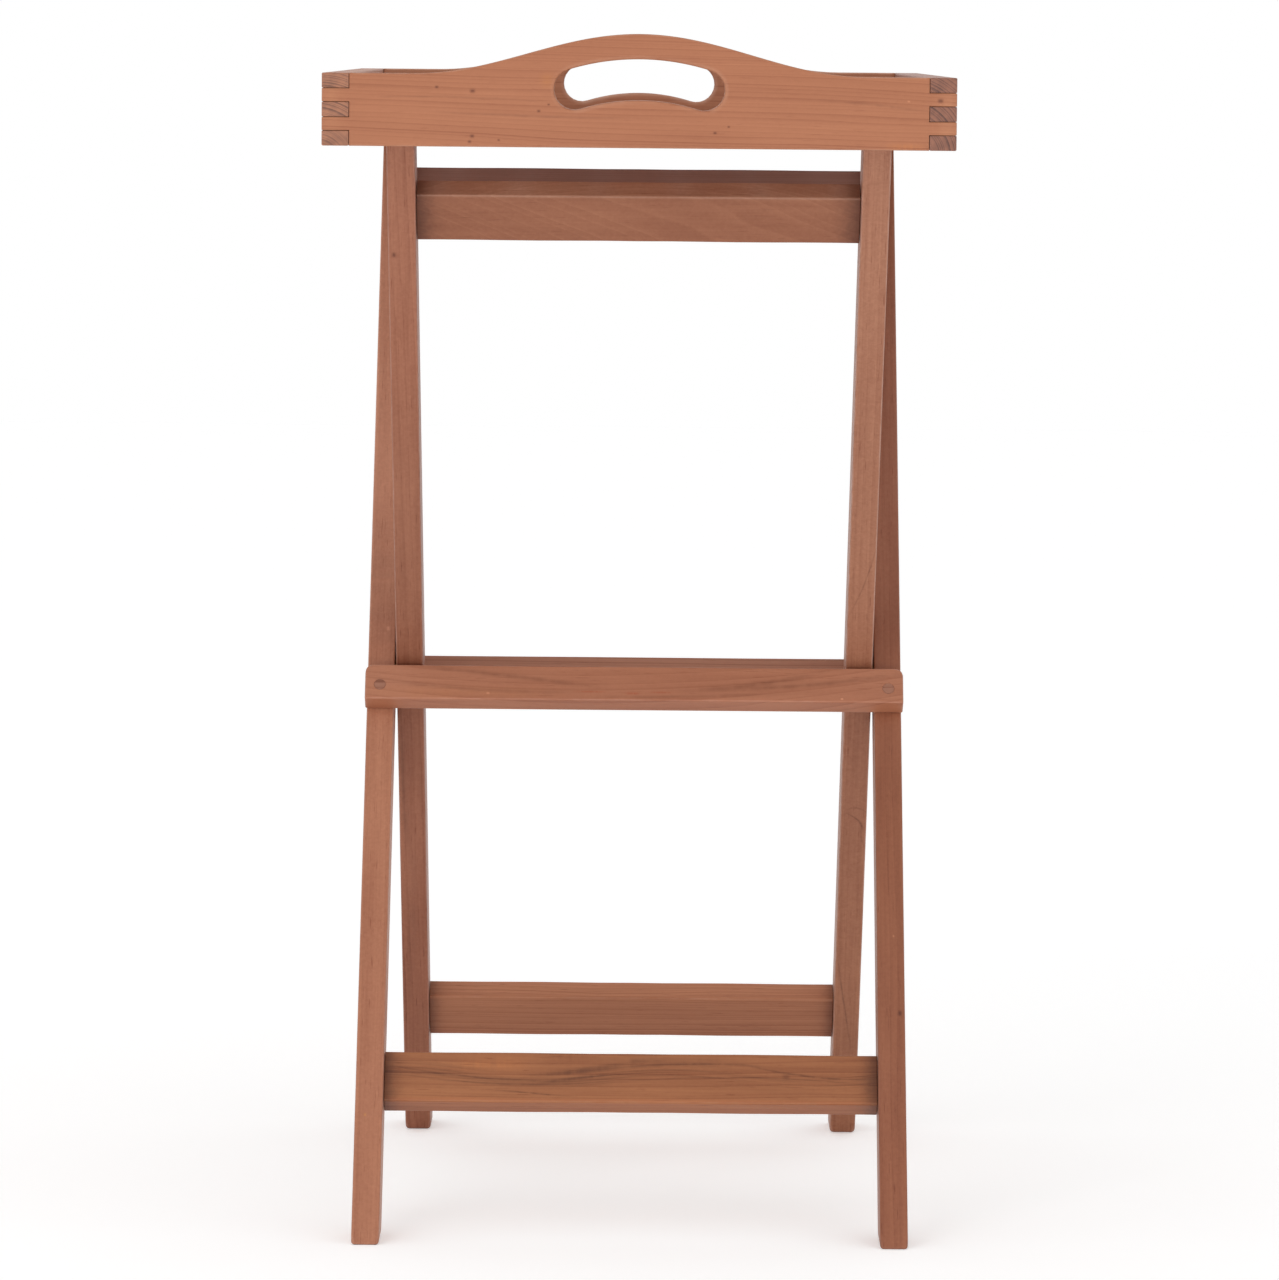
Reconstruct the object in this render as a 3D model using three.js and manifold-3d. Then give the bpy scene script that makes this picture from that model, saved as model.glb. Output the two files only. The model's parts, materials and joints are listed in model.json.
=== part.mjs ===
// A wooden serving tray resting on a folding stand of two crossed frames, in millimetres.
// +X is to the right, +Y away from the near end of the tray, +Z up.
// The origin is on the floor, under the middle of the tray.

import * as THREE from "three";
import { mergeVertices } from "three/addons/utils/BufferGeometryUtils.js";
import Module from "manifold-3d";

const wasm = await Module();
wasm.setup();

// Overall sizes
const overallHeight = 800;
const trayLength = 600;
const trayWidth = 410;

// Clearance between pieces that are fitted to each other, and how far a cutting tool runs past
const fitGap = 0.3;
const overrun = 1;

// Tray boards, with three fingers on each side board's end and two on each end board's
const boardThick = 17.5;
const sideHeight = 47;
const sideFingerHeight = 9.8;
const humpRise = 26.5;
const shoulderRun = 41.5;
const humpSteps = 44;

// Handle hole, a slot of even height bent along an arc
const handleArcRadius = 141;
const handleHalfSpan = 42;
const handleGrip = 26.4;
const handleBar = 16.3;
const handleArcSteps = 14;
const handleEndSteps = 9;

// Tray floor: slats housed in the end boards, carried by two battens housed in the side boards
const trayLip = 8;
const slatThick = 10;
const slatCount = 7;
const slatGap = 4;
const tongueLength = 5.5;
const tongueThick = 5;
const battenWidth = 32;
const battenThick = 7;
const battenSetback = 54;
const battenHousing = 6;

// Legs and rails of the stand
const trayClearance = 3;
const endClearance = 12.5;
const pivotHeight = 357;
const legThick = 18.5;
const legDepth = 37;
const legEase = 2;
const railWidth = 36.5;
const railThick = 17.5;
const lowerRailDrop = 312;
const topRailSetback = 60.85;
const tenonLength = 11.5;
const tenonWidth = 27;
const tenonThick = 8;

// Stop rails, screwed on the legs' faces just below the pivot
const stopRailWidth = 26.5;
const stopRailThick = 15.5;
const stopRailOverhang = 1;
const stopRailCorner = 4;
const cornerSteps = 5;

// Wood screws, their plugs, and the smaller screws under the tray's floor
const stopScrewDrop = 15.5;
const plugRadius = 3.7;
const plugDepth = 5;
const railScrew = {
  headRadius: 3.6,
  shankRadius: 2,
  tipRadius: 0.8,
  headDepth: 2.6,
  length: 27,
  tipLength: 5,
};
const slatScrew = {
  headRadius: 3,
  shankRadius: 1.5,
  tipRadius: 0.6,
  headDepth: 2,
  length: 13,
  tipLength: 3,
};
const driveRecess = 1.2;
const driveArm = 2.2;
const driveBlade = 0.7;

// Pivot: a bolt from the outer leg into a sleeve nut in the inner leg, with a washer between the legs
const boltRadius = 3;
const boltHeadRadius = 6.5;
const boltHeadThick = 3;
const sleeveRadius = 4.2;
const washerRadius = 9;
const washerThick = 0.8;
const keyRadius = 2.3;
const keyDepth = 1.8;
const keySides = 6;
const roundSides = 24;
const screwSides = 10;

// Finishes
const teak = { color: 0xa86f50, roughness: 0.5, metalness: 0 };
const teakDark = { color: 0x8a5a44, roughness: 0.55, metalness: 0 };
const brass = { color: 0xb08d57, roughness: 0.35, metalness: 1 };

// Places that follow from the sizes above
const endHeight = sideHeight + humpRise;
const trayBottom = overallHeight - endHeight;
const halfLength = trayLength / 2;
const halfWidth = trayWidth / 2;
const innerHalfLength = halfLength - boardThick;
const innerHalfWidth = halfWidth - boardThick;
const humpHalfLength = innerHalfWidth - shoulderRun;
const endFingerHeight = (sideHeight - 3 * sideFingerHeight) / 2;
const endFingerFeet = [sideFingerHeight, 2 * sideFingerHeight + endFingerHeight];
const handleCentreHeight = endHeight - handleBar - handleGrip / 2;
const floorBottom = trayBottom + trayLip;
const floorTop = floorBottom + slatThick;
const slatWidth = (2 * innerHalfWidth - (slatCount + 1) * slatGap) / slatCount;
const slatPitch = slatWidth + slatGap;
const battenTop = floorBottom - fitGap;

const outerHalf = innerHalfWidth - trayClearance;
const legsApart = washerThick + 2 * fitGap;
const innerHalf = outerHalf - legThick - legsApart;
const legTop = floorBottom - fitGap;

// The lean puts the outermost corner of each leg's top at a set distance from the tray's end board
const topReach = innerHalfLength - endClearance;
const topRise = legTop - pivotHeight;
const lean = Math.acos(legDepth / 2 / Math.hypot(topReach, topRise)) - Math.atan2(topRise, topReach);
const upperRailRise = topRise / Math.cos(lean) - topRailSetback;
const battenPlace = topReach - legDepth / Math.cos(lean) - battenSetback - battenWidth / 2;
const stopDrop = (legDepth / 2) * Math.tan(lean) + fitGap;
const screwPlace = stopDrop + stopScrewDrop;

const xAxis = new THREE.Vector3(1, 0, 0);
const yAxis = new THREE.Vector3(0, 1, 0);
const zAxis = new THREE.Vector3(0, 0, 1);
const alongX = new THREE.Matrix4().makeBasis(yAxis, zAxis, xAxis);
const alongY = new THREE.Matrix4().makeBasis(xAxis, zAxis, yAxis.clone().negate());
const sides = [["left", -1], ["right", 1]];

// Closed three.js geometry to a solid that can be cut, and back
function solid(geometry) {
  const bare = geometry.clone();
  bare.deleteAttribute("normal");
  bare.deleteAttribute("uv");
  const merged = mergeVertices(bare);
  const vertProperties = new Float32Array(merged.attributes.position.array);
  const triVerts = new Uint32Array(merged.index.array);
  return new wasm.Manifold(new wasm.Mesh({ numProp: 3, vertProperties, triVerts }));
}

function surface(body) {
  const mesh = body.getMesh();
  const geometry = new THREE.BufferGeometry();
  geometry.setAttribute("position", new THREE.BufferAttribute(mesh.vertProperties, 3));
  geometry.setIndex(new THREE.BufferAttribute(mesh.triVerts, 1));
  geometry.computeVertexNormals();
  return geometry;
}

// A block between two corners
function block(low, high) {
  const size = high.map((value, i) => value - low[i]);
  const middle = high.map((value, i) => (value + low[i]) / 2);
  return solid(new THREE.BoxGeometry(...size).translate(...middle));
}

// A round bar along an axis between two places on it, tapered when the two radii differ
function roundBar(axis, from, to, radiusFrom, radiusTo = radiusFrom, segments = roundSides) {
  const geometry = new THREE.CylinderGeometry(radiusTo, radiusFrom, Math.abs(to - from), segments);
  const direction = axis.clone().multiplyScalar(Math.sign(to - from));
  geometry.applyQuaternion(new THREE.Quaternion().setFromUnitVectors(yAxis, direction));
  const middle = axis.clone().multiplyScalar((from + to) / 2);
  return solid(geometry.translate(middle.x, middle.y, middle.z));
}

// A flat outline given thickness: "X" draws it in Y and Z, "Y" draws it in X and Z
function slab(outline, holes, axis, low, high) {
  const shape = new THREE.Shape(outline);
  shape.holes = holes.map((hole) => new THREE.Path(hole));
  const geometry = new THREE.ExtrudeGeometry(shape, { depth: high - low, bevelEnabled: false });
  if (axis === "X") {
    geometry.applyMatrix4(alongX).translate(low, 0, 0);
  } else {
    geometry.applyMatrix4(alongY).translate(0, high, 0);
  }
  return solid(geometry);
}

// An outline with each corner cut off at the same distance along both of its edges
function easedOutline(corners, ease) {
  const points = [];
  corners.forEach((corner, i) => {
    const before = corners[(i + corners.length - 1) % corners.length];
    const after = corners[(i + 1) % corners.length];
    for (const other of [before, after]) {
      const step = other.clone().sub(corner).setLength(ease);
      points.push(corner.clone().add(step));
    }
  });
  return points;
}

function piece(name, body, finish) {
  const mesh = new THREE.Mesh(surface(body), new THREE.MeshStandardMaterial(finish));
  mesh.name = name;
  return mesh;
}

// Height of an end board above its lower edge: level shoulders and a raised cosine between them
function endBoardHeight(x) {
  if (Math.abs(x) >= humpHalfLength) {
    return sideHeight;
  }
  return sideHeight + (humpRise * (1 + Math.cos((Math.PI * x) / humpHalfLength))) / 2;
}

// The handle hole's outline: two arcs about one centre, joined by round ends
function handleOutline() {
  const arcCentre = handleCentreHeight - handleArcRadius;
  const halfAngle = Math.asin(handleHalfSpan / handleArcRadius);
  const points = [];
  const add = (radius, angle, centreX, centreZ) => {
    const x = centreX + radius * Math.sin(angle);
    const z = centreZ + radius * Math.cos(angle);
    points.push(new THREE.Vector2(x, z));
  };
  for (let i = 0; i <= handleArcSteps; i += 1) {
    add(handleArcRadius + handleGrip / 2, halfAngle * ((2 * i) / handleArcSteps - 1), 0, arcCentre);
  }
  const endX = handleArcRadius * Math.sin(halfAngle);
  const endZ = arcCentre + handleArcRadius * Math.cos(halfAngle);
  for (let i = 1; i < handleEndSteps; i += 1) {
    add(handleGrip / 2, halfAngle + (Math.PI * i) / handleEndSteps, endX, endZ);
  }
  for (let i = 0; i <= handleArcSteps; i += 1) {
    add(handleArcRadius - handleGrip / 2, halfAngle * (1 - (2 * i) / handleArcSteps), 0, arcCentre);
  }
  for (let i = 1; i < handleEndSteps; i += 1) {
    add(handleGrip / 2, Math.PI - halfAngle + (Math.PI * i) / handleEndSteps, -endX, endZ);
  }
  return points;
}

// Tray end board: finger notches at both ends, the raised handle, and a groove for the slats' tongues
function endBoard(end) {
  const notch = innerHalfWidth - fitGap;
  const points = [];
  const corner = (x, z) => points.push(new THREE.Vector2(x, z));
  corner(-notch, 0);
  corner(notch, 0);
  for (const foot of endFingerFeet) {
    corner(notch, foot + fitGap / 2);
    corner(halfWidth, foot + fitGap / 2);
    corner(halfWidth, foot + endFingerHeight - fitGap / 2);
    corner(notch, foot + endFingerHeight - fitGap / 2);
  }
  corner(notch, sideHeight);
  for (let i = 0; i <= humpSteps; i += 1) {
    const x = humpHalfLength * (1 - (2 * i) / humpSteps);
    corner(x, endBoardHeight(x));
  }
  corner(-notch, sideHeight);
  for (const foot of endFingerFeet.toReversed()) {
    corner(-notch, foot + endFingerHeight - fitGap / 2);
    corner(-halfWidth, foot + endFingerHeight - fitGap / 2);
    corner(-halfWidth, foot + fitGap / 2);
    corner(-notch, foot + fitGap / 2);
  }
  const board = slab(points, [handleOutline()], "Y", innerHalfLength, halfLength);
  const grooveReach = innerHalfWidth - slatGap + fitGap;
  const groove = block(
    [-grooveReach, innerHalfLength - overrun, trayLip - fitGap],
    [grooveReach, innerHalfLength + tongueLength + fitGap, trayLip + tongueThick + fitGap],
  );
  const mesh = piece(`${end}_end_board`, board.subtract(groove), teak);
  mesh.position.z = trayBottom;
  mesh.rotation.z = end === "near" ? Math.PI : 0;
  return mesh;
}

// Tray side board: three fingers at each end, and housings for the two battens
function sideBoard(name, side) {
  const fingerRoot = innerHalfLength - fitGap;
  const points = [];
  const corner = (y, z) => points.push(new THREE.Vector2(y, z));
  corner(-halfLength, 0);
  corner(halfLength, 0);
  for (const foot of endFingerFeet) {
    corner(halfLength, foot - fitGap / 2);
    corner(fingerRoot, foot - fitGap / 2);
    corner(fingerRoot, foot + endFingerHeight + fitGap / 2);
    corner(halfLength, foot + endFingerHeight + fitGap / 2);
  }
  corner(halfLength, sideHeight);
  corner(-halfLength, sideHeight);
  for (const foot of endFingerFeet.toReversed()) {
    corner(-halfLength, foot + endFingerHeight + fitGap / 2);
    corner(-fingerRoot, foot + endFingerHeight + fitGap / 2);
    corner(-fingerRoot, foot - fitGap / 2);
    corner(-halfLength, foot - fitGap / 2);
  }
  let board = slab(points, [], "X", innerHalfWidth, halfWidth);
  for (const place of [-battenPlace, battenPlace]) {
    board = board.subtract(block(
      [innerHalfWidth - overrun, place - battenWidth / 2 - fitGap, -overrun],
      [innerHalfWidth + battenHousing + fitGap, place + battenWidth / 2 + fitGap, trayLip],
    ));
  }
  const mesh = piece(`${name}_side_board`, board, teakDark);
  mesh.position.z = trayBottom;
  mesh.rotation.z = side < 0 ? Math.PI : 0;
  return mesh;
}

// A countersunk wood screw along an axis, its head's top at the start and its point at the end
function woodScrew(axis, start, sign, screw) {
  const at = (distance) => start + sign * distance;
  const shankEnd = screw.length - screw.tipLength;
  const turned = (from, to, wide, narrow) => roundBar(axis, from, to, wide, narrow, screwSides);
  let body = turned(start, at(screw.headDepth), screw.headRadius, screw.shankRadius);
  body = body.add(turned(at(screw.headDepth), at(shankEnd), screw.shankRadius, screw.shankRadius));
  body = body.add(turned(at(shankEnd), at(screw.length), screw.shankRadius, screw.tipRadius));
  const bottom = Math.min(at(-overrun), at(driveRecess));
  const top = Math.max(at(-overrun), at(driveRecess));
  for (const long of [driveArm, driveBlade]) {
    const wide = driveArm + driveBlade - long;
    const across = axis === yAxis ? [long, 0, wide] : [long, wide, 0];
    const low = across.map((value, i) => (axis.getComponent(i) ? bottom : -value));
    const high = across.map((value, i) => (axis.getComponent(i) ? top : value));
    body = body.subtract(block(low, high));
  }
  return body;
}

// The hole that a wood screw leaves, a little larger all over
function screwHole(axis, start, sign, screw) {
  const at = (distance) => start + sign * distance;
  const head = screw.headRadius + fitGap;
  const shank = screw.shankRadius + fitGap;
  return roundBar(axis, at(-overrun), start, head, head, screwSides)
    .add(roundBar(axis, start, at(screw.headDepth + fitGap), head, shank, screwSides))
    .add(roundBar(axis, start, at(screw.length + fitGap), shank, shank, screwSides));
}

const slatMiddle = (index) => (index - (slatCount - 1) / 2) * slatPitch;
const slatScrewStart = battenTop - battenThick + fitGap;

// Floor slat: a board with a thinner tongue at each end, and two screw holes from below
function slat(index) {
  const x = slatMiddle(index);
  const reach = innerHalfLength - fitGap;
  let body = block([x - slatWidth / 2, -reach, floorBottom], [x + slatWidth / 2, reach, floorTop]);
  body = body.add(block(
    [x - slatWidth / 2, -innerHalfLength - tongueLength, floorBottom],
    [x + slatWidth / 2, innerHalfLength + tongueLength, floorBottom + tongueThick],
  ));
  for (const place of [-battenPlace, battenPlace]) {
    const hole = screwHole(zAxis, slatScrewStart, 1, slatScrew).translate([x, place, 0]);
    body = body.subtract(hole);
  }
  return piece(`slat_${index + 1}`, body, teak);
}

// Batten under the floor, housed at both ends, with one screw for each slat
function batten(end, sign) {
  const reach = innerHalfWidth + battenHousing;
  const place = sign * battenPlace;
  let body = block(
    [-reach, place - battenWidth / 2, battenTop - battenThick],
    [reach, place + battenWidth / 2, battenTop],
  );
  for (let i = 0; i < slatCount; i += 1) {
    const hole = screwHole(zAxis, slatScrewStart, 1, slatScrew).translate([slatMiddle(i), place, 0]);
    body = body.subtract(hole);
  }
  return piece(`${end}_batten`, body, teakDark);
}

function tray() {
  const group = new THREE.Group();
  for (const [name, side] of sides) {
    group.add(sideBoard(name, side));
  }
  for (let i = 0; i < slatCount; i += 1) {
    group.add(slat(i));
  }
  const screwBody = woodScrew(zAxis, slatScrewStart, 1, slatScrew);
  for (const [end, sign] of [["near", -1], ["far", 1]]) {
    group.add(endBoard(end));
    group.add(batten(end, sign));
    for (let i = 0; i < slatCount; i += 1) {
      const screw = piece(`${end}_slat_screw_${i + 1}`, screwBody, brass);
      screw.position.set(slatMiddle(i), sign * battenPlace, 0);
      group.add(screw);
    }
  }
  return group;
}

// One leg, upright in its frame with the pivot at the origin; slope is +1 where its top leans to +Y
function leg(slope, outwards, inside) {
  const halfDepth = legDepth / 2;
  const level = (y, rise) => (rise + slope * y * Math.sin(lean)) / Math.cos(lean);
  const corner = (y, rise) => new THREE.Vector2(y, level(y, rise));
  const outline = easedOutline([
    corner(-halfDepth, -pivotHeight),
    corner(halfDepth, -pivotHeight),
    corner(halfDepth, topRise),
    corner(-halfDepth, topRise),
  ], legEase);
  let body = slab(outline, [], "X", -legThick / 2, legThick / 2);
  const innerFace = (-outwards * legThick) / 2;
  const mortiseMouth = innerFace - outwards * overrun;
  const mortiseFloor = innerFace + outwards * (tenonLength + fitGap);
  const mortiseLeft = Math.min(mortiseMouth, mortiseFloor);
  const mortiseRight = Math.max(mortiseMouth, mortiseFloor);
  const halfWide = tenonWidth / 2 + fitGap;
  const halfThick = tenonThick / 2 + fitGap;
  for (const middle of [-lowerRailDrop, upperRailRise]) {
    body = body.subtract(block(
      [mortiseLeft, -halfThick, middle - halfWide],
      [mortiseRight, halfThick, middle + halfWide],
    ));
  }
  const recessFace = inside ? innerFace : -innerFace;
  const inwards = inside ? outwards : -outwards;
  const shaft = inside ? sleeveRadius : boltRadius;
  body = body.subtract(roundBar(xAxis, -legThick, legThick, shaft + fitGap));
  body = body.subtract(roundBar(
    xAxis, recessFace - inwards * overrun, recessFace + inwards * (boltHeadThick + 2 * fitGap),
    boltHeadRadius + fitGap,
  ));
  const screwStart = slope * (plugDepth - stopRailThick - halfDepth);
  const pilot = screwHole(yAxis, screwStart, slope, railScrew);
  return body.subtract(pilot.translate([0, 0, -screwPlace]));
}

// Rail between two legs, with a tenon at each end
function rail(name, half, middle) {
  const shoulder = half - legThick - fitGap;
  let body = block(
    [-shoulder, -railThick / 2, middle - railWidth / 2],
    [shoulder, railThick / 2, middle + railWidth / 2],
  );
  body = body.add(block(
    [-shoulder - tenonLength, -tenonThick / 2, middle - tenonWidth / 2],
    [shoulder + tenonLength, tenonThick / 2, middle + tenonWidth / 2],
  ));
  return piece(name, body, teak);
}

// Stop rail on the outside of the legs' faces, with its upper corners rounded
function stopRail(name, slope, screwPlaces) {
  const reach = outerHalf + stopRailOverhang;
  const lowerEdge = -stopDrop - stopRailWidth;
  const points = [new THREE.Vector2(-reach, lowerEdge), new THREE.Vector2(reach, lowerEdge)];
  for (const side of [1, -1]) {
    for (let i = 0; i <= cornerSteps; i += 1) {
      const angle = (Math.PI / 2) * ((side > 0 ? i : cornerSteps - i) / cornerSteps);
      const x = side * (reach - stopRailCorner + stopRailCorner * Math.cos(angle));
      points.push(new THREE.Vector2(x, -stopDrop - stopRailCorner + stopRailCorner * Math.sin(angle)));
    }
  }
  const legFace = -slope * (legDepth / 2 + fitGap);
  const outFace = legFace - slope * stopRailThick;
  let body = slab(points, [], "Y", Math.min(legFace, outFace), Math.max(legFace, outFace));
  const plugFloor = outFace + slope * (plugDepth + fitGap);
  for (const x of screwPlaces) {
    const well = roundBar(yAxis, outFace - slope * overrun, plugFloor, plugRadius + fitGap);
    const hole = screwHole(yAxis, plugFloor, slope, railScrew);
    body = body.subtract(well.add(hole).translate([x, 0, -screwPlace]));
  }
  return piece(name, body, teak);
}

// A frame of the stand: two legs, two rails, a stop rail, and the screws and plugs that hold it
function frame(kind, slope, half) {
  const group = new THREE.Group();
  const inside = kind === "inner";
  const foot = inside ? "far" : "near";
  const head = inside ? "near" : "far";
  const legMiddle = half - legThick / 2;
  for (const [name, side] of sides) {
    const mesh = piece(`${kind}_leg_${name}`, leg(slope, side, inside), teak);
    mesh.position.x = side * legMiddle;
    group.add(mesh);
  }
  group.add(rail(`${foot}_lower_rail`, half, -lowerRailDrop));
  group.add(rail(`${head}_top_rail`, half, upperRailRise));
  group.add(stopRail(`${foot}_stop_rail`, slope, [-legMiddle, legMiddle]));
  const outFace = -slope * (legDepth / 2 + fitGap + stopRailThick);
  const plugBody = roundBar(yAxis, outFace, outFace + slope * plugDepth, plugRadius);
  const screwStart = outFace + slope * (plugDepth + fitGap);
  const screwBody = woodScrew(yAxis, screwStart, slope, railScrew);
  for (const [name, side] of sides) {
    const plug = piece(`${foot}_stop_plug_${name}`, plugBody, teakDark);
    const screw = piece(`${foot}_stop_screw_${name}`, screwBody, brass);
    for (const mesh of [plug, screw]) {
      mesh.position.set(side * legMiddle, 0, -screwPlace);
      group.add(mesh);
    }
  }
  group.position.z = pivotHeight;
  group.rotation.x = -slope * lean;
  return group;
}

// Pivot hardware of one side: the bolt's head is let into the outer leg, the nut into the inner leg
function pivot(name, side) {
  const group = new THREE.Group();
  const headTop = side * (outerHalf - fitGap);
  const headFloor = headTop - side * boltHeadThick;
  const nutTop = side * (innerHalf - legThick + fitGap);
  const nutFloor = nutTop + side * boltHeadThick;
  const shankEnd = nutFloor + side * fitGap;
  const keyHole = (mouth, floor) => roundBar(xAxis, mouth, floor, keyRadius, keyRadius, keySides);
  const bolt = roundBar(xAxis, headTop, headFloor, boltHeadRadius)
    .add(roundBar(xAxis, headFloor + side * overrun, shankEnd, boltRadius))
    .subtract(keyHole(headTop + side * overrun, headTop - side * keyDepth));
  const nut = roundBar(xAxis, nutTop, nutFloor, boltHeadRadius)
    .add(roundBar(xAxis, nutFloor - side * overrun, side * (innerHalf - fitGap), sleeveRadius))
    .subtract(roundBar(xAxis, nutFloor, side * outerHalf, boltRadius + fitGap))
    .subtract(keyHole(nutTop - side * overrun, nutTop + side * keyDepth));
  const washerInner = side * (innerHalf + fitGap);
  const washer = roundBar(xAxis, washerInner, washerInner + side * washerThick, washerRadius)
    .subtract(roundBar(xAxis, washerInner - side * overrun, side * outerHalf, boltRadius + fitGap));
  group.add(piece(`pivot_bolt_${name}`, bolt, brass));
  group.add(piece(`pivot_nut_${name}`, nut, brass));
  group.add(piece(`pivot_washer_${name}`, washer, brass));
  group.position.z = pivotHeight;
  return group;
}

const table = new THREE.Group();
table.add(frame("outer", 1, outerHalf));
table.add(frame("inner", -1, innerHalf));
for (const [name, side] of sides) {
  table.add(pivot(name, side));
}
table.add(tray());

export default table;
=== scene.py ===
"""A wooden serving tray resting on a folding stand of two crossed frames.

The scene is in metres: +X is to the right, +Y away from the tray's near end, +Z up. The boards'
sizes are millimetres, the same as those of the solids. Places in a board's timber are metres.
"""

import json
import math
from functools import partial, partialmethod, reduce

import bmesh
import bpy
import numpy as np
from mathutils import Matrix, Vector
from mathutils.geometry import tessellate_polygon


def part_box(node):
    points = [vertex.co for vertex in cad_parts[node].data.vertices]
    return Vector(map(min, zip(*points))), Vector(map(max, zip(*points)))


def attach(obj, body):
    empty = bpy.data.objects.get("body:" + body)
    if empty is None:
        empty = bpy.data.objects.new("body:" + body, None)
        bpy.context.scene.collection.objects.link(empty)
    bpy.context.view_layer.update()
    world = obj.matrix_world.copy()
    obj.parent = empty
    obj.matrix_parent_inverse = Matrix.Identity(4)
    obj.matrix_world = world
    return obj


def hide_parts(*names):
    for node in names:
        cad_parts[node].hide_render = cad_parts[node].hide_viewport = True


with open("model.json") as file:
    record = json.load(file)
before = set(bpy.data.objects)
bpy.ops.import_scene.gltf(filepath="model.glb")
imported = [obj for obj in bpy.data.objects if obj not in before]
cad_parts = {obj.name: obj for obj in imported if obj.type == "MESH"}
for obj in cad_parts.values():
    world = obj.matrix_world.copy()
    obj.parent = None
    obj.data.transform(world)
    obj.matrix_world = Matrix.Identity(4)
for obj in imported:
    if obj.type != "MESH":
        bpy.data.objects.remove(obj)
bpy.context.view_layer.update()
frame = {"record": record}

MM = 0.001

# Overall sizes and the clearance between fitted pieces
OVERALL_HEIGHT = 800
TRAY_LENGTH = 600
TRAY_WIDTH = 410
GAP = 0.3

# Tray boards and their fingers
BOARD = 17.5
SIDE_HEIGHT = 47
SIDE_FINGER = 9.8
HUMP_RISE = 26.5
SHOULDER = 41.5
END_FINGER = (SIDE_HEIGHT - 3 * SIDE_FINGER) / 2
FINGER_FEET = (SIDE_FINGER, 2 * SIDE_FINGER + END_FINGER)

# Handle hole
ARC_RADIUS = 141
HALF_SPAN = 42
GRIP = 26.4
BAR = 16.3

# Tray floor
LIP = 8
SLAT_THICK = 10
SLAT_COUNT = 7
SLAT_GAP = 4
TONGUE = 5.5
TONGUE_THICK = 5
BATTEN_WIDTH = 32
BATTEN_THICK = 7
BATTEN_SETBACK = 54
HOUSING = 6

# Legs, rails and stop rails
TRAY_CLEARANCE = 3
END_CLEARANCE = 12.5
PIVOT_HEIGHT = 357
LEG_THICK = 18.5
LEG_DEPTH = 37
RAIL_WIDTH = 36.5
RAIL_THICK = 17.5
LOWER_RAIL_DROP = 312
TOP_RAIL_SETBACK = 60.85
TENON_LENGTH = 11.5
TENON_WIDTH = 27
TENON_THICK = 8
STOP_WIDTH = 26.5
STOP_THICK = 15.5
STOP_OVERHANG = 1

# Screws, plugs and pivots
STOP_SCREW_DROP = 15.5
PLUG_RADIUS = 3.7
PLUG_DEPTH = 5
RAIL_SCREW = dict(head=3.6, shank=2, head_depth=2.6)
SLAT_SCREW = dict(head=3, shank=1.5, head_depth=2, length=13)
BOLT_RADIUS = 3
BOLT_HEAD = 6.5
BOLT_HEAD_THICK = 3
SLEEVE_RADIUS = 4.2
WASHER_THICK = 0.8

# Places that follow from the sizes
END_HEIGHT = SIDE_HEIGHT + HUMP_RISE
TRAY_BOTTOM = OVERALL_HEIGHT - END_HEIGHT
HALF_LENGTH = TRAY_LENGTH / 2
HALF_WIDTH = TRAY_WIDTH / 2
INNER_LENGTH = HALF_LENGTH - BOARD
INNER_WIDTH = HALF_WIDTH - BOARD
HUMP_HALF = INNER_WIDTH - SHOULDER
FLOOR_BOTTOM = TRAY_BOTTOM + LIP
SLAT_WIDTH = (2 * INNER_WIDTH - (SLAT_COUNT + 1) * SLAT_GAP) / SLAT_COUNT
SLAT_PITCH = SLAT_WIDTH + SLAT_GAP
SLAT_PLACES = [(index - (SLAT_COUNT - 1) / 2) * SLAT_PITCH for index in range(SLAT_COUNT)]
BATTEN_TOP = FLOOR_BOTTOM - GAP
SLAT_SCREW_START = BATTEN_TOP - BATTEN_THICK + GAP
OUTER_HALF = INNER_WIDTH - TRAY_CLEARANCE
INNER_HALF = OUTER_HALF - LEG_THICK - WASHER_THICK - 2 * GAP
HALF_OF = {"outer": OUTER_HALF, "inner": INNER_HALF}
TOP_RISE = FLOOR_BOTTOM - GAP - PIVOT_HEIGHT
TOP_REACH = INNER_LENGTH - END_CLEARANCE
LEAN = (math.acos(LEG_DEPTH / 2 / math.hypot(TOP_REACH, TOP_RISE))
        - math.atan2(TOP_RISE, TOP_REACH))
TOP_RAIL_RISE = TOP_RISE / math.cos(LEAN) - TOP_RAIL_SETBACK
BATTEN_PLACE = TOP_REACH - LEG_DEPTH / math.cos(LEAN) - BATTEN_SETBACK - BATTEN_WIDTH / 2
STOP_DROP = LEG_DEPTH / 2 * math.tan(LEAN) + GAP
STOP_FACE = -LEG_DEPTH / 2 - GAP
SCREW_PLACE = STOP_DROP + STOP_SCREW_DROP

# Easing of the arrises: how far each is rounded over
ARRIS = 1.1
RAIL_ARRIS = 1.6
HOLE_ARRIS = 1.6
FOOT_ARRIS = 2.8
BATTEN_ARRIS = 0.8
SLAT_ARRIS, SLAT_LOWER_ARRIS = 0.9, 0.5
TENON_ARRIS = 0.4
SHOULDER_ARRIS = 0.3
PIVOT_MOUTH = 0.4
PLUG_MOUTH = 0.3
FINGER_TIP, FINGER_SIDE = 0.9, 0.25

# Radii of the corners in an outline, seen along the board's thickness
FOOT_CORNER = 2.6
STOP_CORNER, STOP_LOWER_CORNER = 6.4, 1.2
FINGER_CORNER = 0.35
SIDE_CORNER = 0.8

# Stretches in which the easing passes from a corner's to that of the arris beside it
FOOT_RUN = 8
SIDE_RUN = 4
FINGER_RUN = 2

# How far apart a side board's plain lower edge has the two points that meet a housing's corner
HOUSING_SPREAD = 2

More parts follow.
